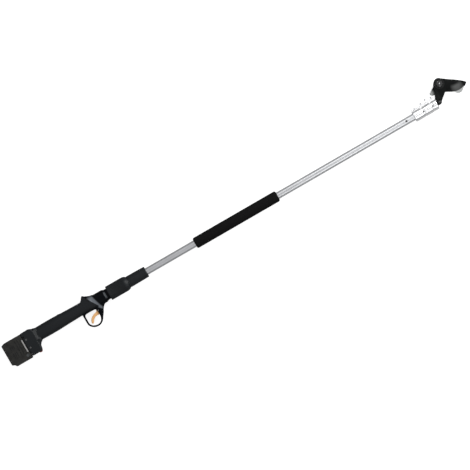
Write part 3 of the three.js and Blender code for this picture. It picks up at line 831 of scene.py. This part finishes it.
def ridge():
    """The nose's raised rear edge, on both sides: a sharp crest, its flank falling to the nut."""
    halves = []
    for side in (1, -1):
        bm = bmesh.new()
        loops = []
        for i, (x, y, z) in enumerate(CREST):
            before, after = CREST[max(i - 1, 0)], CREST[min(i + 1, len(CREST) - 1)]
            out = Vector((before[1] - after[1], after[0] - before[0], 0)).normalized()
            section = ((-3, -3.6), (0, 0), (1.2, -0.2), (11, -6.2), (11, -12), (-3, -12))
            loops.append([
                bm.verts.new((x + out.x * a, y + out.y * a, side * max(z + b, 0.5)))
                for a, b in section
            ])
        for near, far in zip(loops, loops[1:]):
            for k in range(len(near)):
                bm.faces.new((near[k - 1], near[k], far[k], far[k - 1]))
        bm.faces.new(loops[0])
        bm.faces.new(loops[-1][::-1])
        bmesh.ops.recalc_face_normals(bm, faces=bm.faces)
        halves.append(bm)
    return joined(*halves)


def handle_core(*extra):
    """Base, grip, hand stop and nose fused into one moulding."""
    base = plate([(min(x, 121), y) for x, y in BASE_LINE], -HALF_DEPTH, HALF_DEPTH, rim=4.0, segments=4)
    flare = plate([(104, -50), *BASE_LINE[3:9], (104, 30)], -20, 20, rim=6.0, segments=4)
    grip = flattened(spun([(104, 0), *GRIP_LINE, (366, 0)]), 0.88, 0.7)
    nose = flattened(spun([(338, 0), *NOSE_LINE, (416, 0)]), 0.86)
    hump = plate(smooth_line(HUMP_LINE, 3), -16, 16, rim=3.0, segments=3)
    shoulder = plate(SHOULDER, -22, 18, rim=3.0)
    bmesh.ops.rotate(shoulder, verts=shoulder.verts, matrix=Matrix.Rotation(math.pi / 2, 3, "X"))
    return moulded(joined(base, flare, grip, nose, hump, shoulder, *extra), 1.1, 4)


def seam(bm, front):
    """Cuts the handle at the slanted seam, less half the gap, and keeps the nose or the grip."""
    keep = SEAM_NORMAL if front else -SEAM_NORMAL
    return sliced(bm, Vector((*SEAM_POINT, 0.0)) + keep * settings().seam_gap / MM / 2, keep)


def in_recess(face):
    """The faces of the base's corner recess and of its deep screw well."""
    at = face.calc_center_median()
    corner = at.x < 82.7 and at.y < -36.9 and 20 < at.z < 25.8
    return corner or (at.z < 25.8 and math.dist(at[:2], DIMPLE) < 4.2)


def build_handle():
    core = handle_core()
    rear = seam(core.copy(), False)
    hoop = plate(smooth_line(GUARD_OUTER, 3, False), -9, 9, rim=2.6, segments=4)
    hoop = combined(hoop, plate(smooth_line(GUARD_INNER, 3, False), -20, 20))
    hoop = combined(hoop, rear.copy())
    front = seam(handle_core(ridge()), True)
    spigot = spun([(404, 0), (404, 18.4), (470, 18.4), (470, 0)])
    core.free()
    nose = moulded(joined(front, hoop, spigot), 0.8, 4)
    bores = spun([(374, 0), (374, 11), (384.6, 11), (384.6, 12.75), (480, 12.75), (480, 0)])
    trigger_way = brick((338, -50, -6.7), (364, -12, 6.7), 0.6)
    nose = cut_by(nose, bores, trigger_way, hole(*TRIGGER_PIN, -20, 20, 2.2))
    place(nose, "nose_and_guard", "tool", gloss_plastic())
    pocket = brick((60, -53.8, -23.6), (82.4, 29.7, 23.6))
    wall = settings().shell_wall / MM
    inner = flattened(spun([(100, 0), *((x, r - wall) for x, r in GRIP_LINE), (366, 0)]), 0.86, 0.7)
    hollow = moulded(joined(inner, brick((84.5, -50, -23.2), (116, 27, 23.2))), 1.2, 3)
    ways = joined(
        spun([(19, 0), (19, 5.4), (40, 5.4), (40, 0)], "Y", (POWER_BUTTON, 0, 0), 48),
        brick((105.4, -70, -6.6), (125, -51.6, 6.6), 0.4),
        *(hole(x, y, 25.2, 40, 3.8) for x, y in SHELL_SCREWS.values()),
        hole(*DIMPLE, 15, 40, 3.8),
        brick((70, -60, 21.5), (82.6, -37, 40), 0.3),
    )
    for side, name in ((1, "handle_shell_front"), (-1, "handle_shell_back")):
        shell = sliced(rear.copy(), (0, 0, side * 0.12), (0, 0, side))
        shell = cut_by(shell, hollow.copy(), pocket.copy(), ways.copy())
        place(shell, name, "tool", [handle_plastic(), dark_plastic()], second=in_recess)
    for tool in (rear, hollow, pocket, ways):
        tool.free()
    for name, (x, y) in SHELL_SCREWS.items():
        place(screw_shape(x, y, 26.2, 3.4, 1, 1.6, 40), name, "tool", dull_steel())


def build_controls():
    trigger = plate(smooth_line(TRIGGER_LINE, 4), -6, 6, rim=1.7, segments=4)
    trigger = cut_by(trigger, hole(*TRIGGER_PIN, -20, 20, 2.2), hole(*TRIGGER_PIN, -2.6, 2.6, 5.2))
    place(trigger, "trigger", "trigger", orange_plastic())
    pin = spun(
        [(-8.6, 0), (-8.6, 1.7), (-8.3, 2), (8.3, 2), (8.6, 1.7), (8.6, 0)], "Z", (*TRIGGER_PIN, 0),
        32,
    )
    place(pin, "trigger_pin", "tool", bright_steel())
    button = spun([(20.4, 0), (20.4, 5), (25.2, 5), (25.8, 4.4), (25.8, 2.6), (25.4, 2.2), (25.4, 0)], "Y",
                  (POWER_BUTTON, 0, 0), 48)
    place(button, "power_button", "power", mid_plastic())
    place(eased("release_latch", 0.5), "release_latch", "latch", red_plastic())
    place(eased("battery_mount", 0.4), "battery_mount", "tool", dark_plastic())


def in_flute(face):
    """The bottoms of the collar nut's flutes."""
    at = face.calc_center_median()
    return at.x < 480 and 24 < math.hypot(at.y, at.z) < 25.75


def build_collar():
    start, stop = NUT_ENDS
    shoulder = 485.0
    profile = [
        (start, 19.2), (start, 25.4), (start + 0.5, 26.2), (start + 1.4, 26.5), (start + 5, 26.5),
        (start + 6.5, 26.5), (shoulder - 6.5, 26.5), (shoulder - 5, 26.5), (shoulder - 0.6, 26.4),
        (shoulder + 1, 25.8), (stop - 6.4, 24), (stop - 5.6, 23.4), (stop - 1, 20.5), (stop, 19.6),
        (stop, 12.95), (shoulder + 1.4, 12.95), (shoulder + 1, 19.2),
    ]
    nut = spun(profile, segments=270, ring=True)
    for v in nut.verts:
        if start + 6 < v.co.x < shoulder - 6 and math.hypot(v.co.y, v.co.z) > 26:
            turn = math.atan2(v.co.z, v.co.y)
            sunk = 1.3 * max(0.0, math.cos(30 * turn)) ** 0.8
            v.co.y *= 1 - sunk / 26.5
            v.co.z *= 1 - sunk / 26.5
    place(nut, "collar_nut", "collar", [handle_plastic(), dark_plastic()], crease=40,
          second=in_flute)
    start, stop = SOCKET_ENDS
    profile = [
        (start, 12.65), (start, 20.2), (start + 0.8, 21), (start + 5, 20.95), (start + 5.4, 20.4),
        (start + 6.6, 20.4), (start + 7, 20.9), (stop - 9, 20.1), (stop - 8.6, 19.6), (stop - 7.4,
        19.6), (stop - 7, 20.1), (stop - 2.4, 20), (stop - 0.8, 19.4), (stop, 18.2), (stop, 13.4),
        (stop - 0.6, 12.65),
    ]
    place(spun(profile, ring=True), "pole_socket", "tool", handle_plastic())


def build_pole():
    start, stop = POLE_ENDS
    profile = [
        (start, 11.2), (start, 12.3), (start + 0.2, 12.5), (stop - 0.2, 12.5), (stop, 12.3), (stop,
        11.2), (stop - 0.2, 11), (start + 0.2, 11),
    ]
    tube = combined(spun(profile, segments=128, ring=True), hole(POLE_SCREW, 0, 0, 30, 2.3))
    place(tube, "pole_tube", "tool", drawn_aluminium())
    seat = spun([(1600, 0), (1600, 12.6), (1640, 12.6), (1640, 0)])
    head = combined(screw_shape(POLE_SCREW, 0, 14.4, 4, 3.4, 2, 8, 0.45, 0.9), seat)
    shank = hole(POLE_SCREW, 0, 6.5, 13, 1.9)
    place(joined(head, shank), "pole_screw", "tool", black_steel())
    start, stop = FOAM_ENDS
    thick, rim = settings().foam_diameter / MM / 2, settings().foam_rim / MM
    curl = [(rim * math.cos(math.radians(a)), rim * math.sin(math.radians(a))) for a in range(0, 91, 15)]
    near = [(start + rim - c, thick - rim + s) for c, s in curl]
    far = [(stop - rim + c, thick - rim + s) for c, s in reversed(curl)]
    count = 60
    middle = [(start + rim + (stop - start - 2 * rim) * i / count, thick) for i in range(1, count)]
    foam = spun([(start + 0.4, 12.65), *near, *middle, *far, (stop - 0.4, 12.65)], segments=112, ring=True)
    for v in foam.verts:
        reach = math.hypot(v.co.y, v.co.z)
        if reach > thick - rim:
            ripple = math.sin(v.co.x * 0.21 + 2 * math.atan2(v.co.z, v.co.y)) * math.sin(v.co.x * 0.083)
            sink = 1 - 0.16 * (1 + ripple) / 2 / reach
            v.co.y *= sink
            v.co.z *= sink
    grip = place(foam, "foam_grip", "tool", foam_rubber())


def housing_bores():
    """The cutter for the motor's, bearing's and bush's seats inside the barrel."""
    return spun([
        (1640, 0), (1640, 12.8), (1660.3, 12.8), (1660.3, 13.2), (1667.8, 13.2), (1667.8, 11),
        (1733.8, 11), (1733.8, 12.7), (1760, 12.7), (1760, 0),
    ])


def build_head():
    start, stop = BARREL_ENDS
    barrel = spun([
        (start, 0), (start, 18.8), (start + 1, 20), (1686, 20), (1686.8, 18.8), (1692, 18.8), (1692.8, 20),
        (1722.6, 20), (1723.4, 18.8), (1729.4, 18.8), (1730.2, 20), (stop - 1, 20), (stop, 19), (stop, 0),
    ], segments=128)
    web = plate(WEB_LINE, -7.5, 7.5, rim=1.4, corner=0.8)
    rib = plate([(1660, 10), (1660, 21), (1742, 24), (1742, 10)], -9.6, 9.6, rim=1.5)
    shell = moulded(joined(barrel, web, rib), 0.62, 5)
    shell = combined(shell, housing_bores())
    fins = joined(*(
        brick((1694.6 + 7.2 * i, -13, 17.6), (1698 + 7.2 * i, 13, 30), 0.6) for i in range(4)
    ))
    spots = joined(
        *(hole(x, y, 5.8, 40, 3.3) for x, y in WEB_SCREWS),
        *(hole(x, y, 16.8, 40, 3.3) for x, y in BARREL_SCREWS),
        plate(TANG_SEAT, 3.2, 20),
    )
    front = sliced(shell.copy(), (0, 0, 0.12), (0, 0, 1))
    front = combined(combined(front, fins), spots)
    place(front, "housing_front", "tool", cast_aluminium())
    crown = [(PIVOT[0] + 17 * math.cos(math.radians(a)), PIVOT[1] + 17 * math.sin(math.radians(a)))
             for a in range(-45, 141, 15)]
    cheek_line = [(1756.6, 24), (1780, 26), (1799, 33), *crown, (1764, 62), (1756.6, 56.4)]
    cheek = plate(cheek_line, -9, 3.1, rim=1.0)
    boss = spun([(-20, 0), (-20, 14.8), (-18.8, 16), (2, 16), (2, 0)], "Z", (*PIVOT, 0), 64)
    bridge = brick((1750, 26, -7.4), (1762, 52, -0.4))
    back = sliced(shell, (0, 0, -0.12), (0, 0, -1))
    nose = moulded(joined(cheek, boss, bridge), 0.62, 4)
    nose = combined(nose, hole(*PIVOT, -40, 40, PIVOT_BORE))
    back = combined(back, nose, "UNION")
    place(back, "housing_back", "tool", cast_aluminium())
    place_screws("housing_screw", WEB_SCREWS, (8, 2.7, 2, 1.3, 12), bright_steel())
    place_screws("barrel_screw", BARREL_SCREWS, (18.6, 2.9, 1.6, 1.3, 7), black_steel())


def lever_slot():
    """The slot's cutter: round-ended, along the line from the pivot to just short of the pin."""
    angle = math.atan2(-PIVOT[1], PIN[0] - SLOT_LEAD - PIVOT[0])
    line = []
    for centre, first in zip(SLOT_REACH, (90, -90)):
        for step in range(9):
            turn = math.radians(first + 180 * step / 8)
            line.append((centre + SLOT_HALF * math.cos(turn), SLOT_HALF * math.sin(turn)))
    spin = Matrix.Translation((*PIVOT, 0)) @ Matrix.Rotation(angle, 4, "Z")
    cutter = plate(line, 0, 20)
    cutter.transform(spin)
    return cutter


def build_blades():
    outline = smooth_line(BLADE_BACK, 4, False)[:-1] + smooth_line(BLADE_EDGE, 4, False)[:-1]
    blade = plate(outline, 8.3, 12.8, rim=0.3, segments=2)
    radius = GRIND_RADIUS
    grind = spun(
        [(12.85, radius - 12), (8.9, radius + 2), (8.9, radius + 12), (20, radius + 12),
        (20, radius - 12)], "Z", (*GRIND_CENTRE, 0), 180, ring=True,
    )
    reach = plate(rectangle(1799, 1880, -30, 34), 0, 30)
    blade = combined(blade, combined(grind, reach, "INTERSECT"))
    boss = spun([(9, 0), (9, 18.8), (13.4, 18.8), (14.2, 18), (14.2, 0)], "Z", (*PIVOT, 0), 96)
    blade = combined(blade, boss, "UNION")
    blade = combined(combined(blade, hole(*PIVOT, -40, 40, PIVOT_BORE, 64)), lever_slot())
    place(blade, "moving_blade", "blade", coated_steel(), crease=25)
    hook = plate(smooth_line(HOOK_LINE, 4), 3.5, 8, rim=0.4, segments=2)
    hook = combined(hook, joined(
        hole(*PIVOT, -40, 40, PIVOT_BORE, 64),
        *(hole(x, y, 5.9, 9, 3.7) for x, y in HOOK_SCREWS),
    ))
    place(hook, "hook_blade", "tool", hook_steel(), crease=25)
    place_screws("hook_screw", HOOK_SCREWS, (7.9, 3.4, 1.9, 1.8, 12), black_steel())


def outer_ring(face):
    """The faces of the bolt that aren't its bright middle."""
    at = face.calc_center_median()
    return at.z < 18.6 or math.dist(at[:2], PIVOT) > 2.5


def build_pivot():
    x, y = PIVOT
    bolt = spun(
        [(-24, 0), (-24, 5.4), (-23.4, 6), (18.5, 6), (19, 5.4), (19.1, 2.8), (18.8, 2.5),
        (19.1, 2.2), (19.35, 1.2), (19.4, 0)], "Z", (x, y, 0), 64,
    )
    bright = [bright_steel(), black_steel()]
    place(bolt, "pivot_bolt", "tool", bright, second=outer_ring)
    nut = spun(
        [(14.4, 6.2), (14.4, 10.6), (15, 11.5), (17.2, 11.5), (18.2, 10.6), (18.4, 9), (18.4, 6.6),
        (18, 6.2)], "Z", (x, y, 0), 96, ring=True,
    )
    for i in range(8):
        turn = Matrix.Translation((x, y, 0)) @ Matrix.Rotation(math.radians(45 * i), 4, "Z")
        notch = brick((9.6, -1.5, 13), (14, 1.5, 20), 0.4)
        notch.transform(turn)
        nut = combined(nut, notch)
    stops = joined(*(
        spun(
            [(17.9, 0), (17.9, 2), (18.8, 2), (19.2, 1.2), (19.3, 0)],
            "Z", (x - 2.6, y + side * 8.6, 0), 24,
        )
        for side in (1, -1)
    ))
    place(
        combined(nut, stops, "UNION"), "pivot_nut_front", "tool", [black_steel(), dull_steel()],
        second=lambda face: face.calc_center_median().z > 18.45,
    )
    place(eased("pivot_nut_back", 0.7), "pivot_nut_back", "tool", black_steel())


def build_drive():
    ear = plate(
        [(1750, -6), (1760, -4), (1763.5, 8), (1760, 13.4), (1754.6, 13), (1750, 6)], -3, 3.1,
        rim=0.5,
    )
    rod = combined(combined(eased("push_rod", 0.4), ear, "UNION"), hole(*PIN, -30, 30, 2.75))
    place(rod, "push_rod", "rod", black_steel())
    x, y = PIN
    pin = spun(
        [(-5.8, 0), (-5.8, 2.2), (-5.4, 2.6), (13.1, 2.6), (13.1, 4.2), (14, 4.2), (14.6, 3.4),
        (14.8, 0)], "Z", (x, y, 0), 48,
    )
    place(pin, "drive_pin", "rod", black_steel())
    wiper = spun(
        [(1741.8, 9.2), (1741.8, 12.4), (1743.4, 12.4), (1743.8, 12), (1743.8, 10), (1743.2, 9.2)],
        ring=True,
    )
    place(wiper, "rod_wiper", "tool", dark_plastic())


def build_inner():
    """The working parts inside keep their CAD shapes and get their own finishes."""
    finishes = {
        light_plastic: ["battery_cells"],
        plain_brass: ["battery_contacts", "guide_key", "guide_bush"],
        bright_steel: ["trigger_spring", "gearbox", "motor", "screw_bearing", "drive_screw", "ball_nut"],
        dark_plastic: ["trigger_switch", "collet"],
        board_green: ["controller"],
        cable_black: ["power_cable"],
    }
    for maker, nodes in finishes.items():
        for node in nodes:
            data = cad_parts[node].data
            data.materials.clear()
            data.materials.append(maker())


def studio_room():
    """A soft white room that is dimmer overhead and dark low down, but looks as pale as the floor."""
    world = bpy.data.worlds.new("studio")
    world.use_nodes = True
    tree = world.node_tree
    split = add(tree, "ShaderNodeSeparateXYZ")
    feed(tree, add(tree, "ShaderNodeTexCoord").outputs["Generated"], split.inputs[0])
    ramp = add(tree, "ShaderNodeValToRGB")
    feed(tree, split.outputs["Z"], ramp.inputs[0])
    stops = ((0.0, 0.12), (0.18, 0.14), (0.42, 0.62), (0.85, 0.62), (1.0, 0.5))
    while len(ramp.color_ramp.elements) < len(stops):
        ramp.color_ramp.elements.new(0.5)
    for element, (position, value) in zip(ramp.color_ramp.elements, stops):
        element.position, element.color = position, (value, value, value * 1.02, 1.0)
    seen = add(tree, "ShaderNodeLightPath").outputs["Is Camera Ray"]
    feed(
        tree, blended(tree, seen, ramp.outputs["Color"], (1.0, 1.0, 1.0)),
        tree.nodes["Background"].inputs["Color"],
    )
    tree.nodes["Background"].inputs["Strength"].default_value = settings().room_light
    bpy.context.scene.world = world


def glowing_floor():
    """A pale floor, kept white for the camera as a light table is."""
    material = bpy.data.materials.new("pale floor")
    material.use_nodes = True
    tree = material.node_tree
    shader = tree.nodes["Principled BSDF"]
    shader.inputs["Base Color"].default_value = (0.4, 0.4, 0.4, 1.0)
    shader.inputs["Roughness"].default_value = 1.0
    shader.inputs["Specular IOR Level"].default_value = 0.0
    shader.inputs["Emission Color"].default_value = (1.0, 1.0, 1.0, 1.0)
    seen = add(tree, "ShaderNodeLightPath").outputs["Is Camera Ray"]
    feed(tree, maths(tree, "MULTIPLY", seen, settings().floor_glow), shader.inputs["Emission Strength"])
    return material


def softbox(name, at, aim, size, tall, radiance):
    """A rectangular soft light at a place on the stage, turned to its aim, in mm along the pole."""
    at, aim = TO_FRAME @ Vector(at), TO_FRAME @ Vector(aim)
    light = bpy.data.lights.new(name, "AREA")
    light.shape, light.size, light.size_y = "RECTANGLE", size * MM, tall * MM
    light.energy = radiance * math.pi * light.size * light.size_y
    lamp = shown(name, light)
    lamp.location = at
    lamp.rotation_euler = (aim - at).to_track_quat("-Z", "Y").to_euler()


def build_stage():
    floor = bmesh.new()
    bmesh.ops.create_grid(floor, x_segments=1, y_segments=1, size=settings().floor_reach)
    mesh = mesh_of(floor, "floor")
    mesh.materials.append(glowing_floor())
    shown("floor", mesh)
    studio_room()
    for lamp in LAMPS:
        softbox(*lamp)
    build_camera()
    bpy.context.scene.view_settings.view_transform = "Standard"


def build_camera():
    """Straight above, rolled so that the pole rises to the right, with a very long lens."""
    roll = math.radians(VIEW_ROLL)
    centre = TO_FRAME @ Vector(VIEW_CENTRE)
    camera = bpy.data.cameras.new("camera")
    camera.sensor_width = SENSOR
    camera.lens = SENSOR * CAMERA_HEIGHT / settings().view_width
    camera.clip_end = 200.0
    view = shown("camera", camera)
    right, up = (math.cos(roll), -math.sin(roll), 0.0), (math.sin(roll), math.cos(roll), 0.0)
    turn = Matrix((right, up, (0.0, 0.0, 1.0))).transposed().to_4x4()
    view.matrix_world = Matrix.Translation((centre.x, centre.y, centre.z + CAMERA_HEIGHT)) @ turn
    bpy.context.scene.camera = view


# ---- add-on ----
def colour_setting(name, description, default):
    return bpy.props.FloatVectorProperty(
        name=name, description=description, subtype="COLOR", size=3, min=0.0, max=1.0, default=default)


def length_setting(name, description, low, high, default):
    return bpy.props.FloatProperty(
        name=name, description=description, subtype="DISTANCE", unit="LENGTH", min=low, max=high,
        default=default)


class PolePrunerSettings(bpy.types.PropertyGroup):
    """Sizes, colours and light levels that the build steps read."""

    handle_colour: colour_setting(
        "Handle colour", "Matte plastic of the handle, collar nut and socket", (0.0042, 0.0062, 0.0078))
    foam_colour: colour_setting(
        "Foam colour", "Closed cell foam of the grip", (0.0062, 0.0062, 0.0062))
    nose_colour: colour_setting(
        "Nose colour", "Gloss plastic of the nose and trigger guard", (0.0005, 0.0012, 0.0022))
    battery_colour: colour_setting(
        "Battery colour", "Plastic of the battery's case", (0.0182, 0.018, 0.0158))
    trigger_colour: colour_setting("Trigger colour", "Plastic of the trigger", (0.88, 0.49, 0.2))
    tube_colour: colour_setting("Tube colour", "Aluminium of the pole", (0.66, 0.67, 0.68))
    blade_colour: colour_setting(
        "Blade coating", "Non-stick coating of the blades", (0.0028, 0.0034, 0.0032))
    seam_gap: length_setting(
        "Seam gap", "Gap between the grip's shells and the nose", 0.0001, 0.002, 0.0004)
    shell_wall: length_setting("Shell wall", "Thickness of the grip's shells", 0.001, 0.005, 0.0026)
    foam_diameter: length_setting("Foam diameter", "Thickness of the foam grip", 0.03, 0.04, 0.04)
    foam_rim: length_setting(
        "Foam rim", "Radius of the foam grip's rounded ends", 0.001, 0.007, 0.006)
    view_width: length_setting("View width", "Width that the camera takes in", 0.1, 10.0, 1.645)
    floor_reach: length_setting(
        "Floor reach", "How far the floor runs from the middle", 1.0, 100.0, 30.0)
    room_light: bpy.props.FloatProperty(
        name="Room light", description="Brightness of the room all round",
        min=0.0, max=5.0, default=1.0)
    floor_glow: bpy.props.FloatProperty(
        name="Floor glow", description="How much whiter the floor looks than it is lit",
        min=0.0, max=5.0, default=0.85)


class BuildBattery(bpy.types.Operator):
    """Battery case, end cap, panel, stripe and charge button"""

    bl_idname = "pole_pruner.battery"
    bl_label = "Build battery"

    def execute(self, context):
        build_battery()
        return {"FINISHED"}


class BuildHandle(bpy.types.Operator):
    """Handle shells, nose and trigger guard"""

    bl_idname = "pole_pruner.handle"
    bl_label = "Build handle"

    def execute(self, context):
        build_handle()
        return {"FINISHED"}


class BuildControls(bpy.types.Operator):
    """Trigger, buttons, latch and battery mount"""

    bl_idname = "pole_pruner.controls"
    bl_label = "Build controls"

    def execute(self, context):
        build_controls()
        return {"FINISHED"}


class BuildCollar(bpy.types.Operator):
    """Collar nut and pole socket"""

    bl_idname = "pole_pruner.collar"
    bl_label = "Build collar"

    def execute(self, context):
        build_collar()
        return {"FINISHED"}


class BuildPole(bpy.types.Operator):
    """Aluminium tube, its screw and the foam grip"""

    bl_idname = "pole_pruner.pole"
    bl_label = "Build pole"

    def execute(self, context):
        build_pole()
        return {"FINISHED"}


class BuildHead(bpy.types.Operator):
    """Cast housing and its screws"""

    bl_idname = "pole_pruner.head"
    bl_label = "Build head"

    def execute(self, context):
        build_head()
        return {"FINISHED"}


class BuildBlades(bpy.types.Operator):
    """Moving blade and hook blade"""

    bl_idname = "pole_pruner.blades"
    bl_label = "Build blades"

    def execute(self, context):
        build_blades()
        return {"FINISHED"}


class BuildPivot(bpy.types.Operator):
    """Pivot bolt and its nuts"""

    bl_idname = "pole_pruner.pivot"
    bl_label = "Build pivot"

    def execute(self, context):
        build_pivot()
        return {"FINISHED"}


class BuildDrive(bpy.types.Operator):
    """Push rod, drive pin and wiper"""

    bl_idname = "pole_pruner.drive"
    bl_label = "Build drive"

    def execute(self, context):
        build_drive()
        return {"FINISHED"}


class BuildInner(bpy.types.Operator):
    """Finishes of the parts inside"""

    bl_idname = "pole_pruner.inner"
    bl_label = "Build inner parts"

    def execute(self, context):
        build_inner()
        return {"FINISHED"}


class BuildStage(bpy.types.Operator):
    """Floor, lights and camera"""

    bl_idname = "pole_pruner.stage"
    bl_label = "Build stage"

    def execute(self, context):
        build_stage()
        return {"FINISHED"}


STEPS = [
    BuildBattery, BuildHandle, BuildControls, BuildCollar, BuildPole, BuildHead,
    BuildBlades, BuildPivot, BuildDrive, BuildInner, BuildStage,
]


class POLE_PRUNER_PT_build(bpy.types.Panel):
    """Lists the pole pruner's settings and build steps."""

    bl_label = "Pole Pruner"
    bl_space_type = "VIEW_3D"
    bl_region_type = "UI"
    bl_category = "Pruner"

    def draw(self, context):
        for name in PolePrunerSettings.__annotations__:
            self.layout.prop(context.scene.pole_pruner, name)
        for step in STEPS:
            self.layout.operator(step.bl_idname)


CLASSES = [PolePrunerSettings, *STEPS, POLE_PRUNER_PT_build]


def register():
    for each in CLASSES:
        bpy.utils.register_class(each)
    bpy.types.Scene.pole_pruner = bpy.props.PointerProperty(type=PolePrunerSettings)


def unregister():
    del bpy.types.Scene.pole_pruner
    for each in reversed(CLASSES):
        bpy.utils.unregister_class(each)


def main():
    register()
    for step in STEPS:
        getattr(bpy.ops.pole_pruner, step.bl_idname.split(".")[1])()


if __name__ == "__main__":
    main()
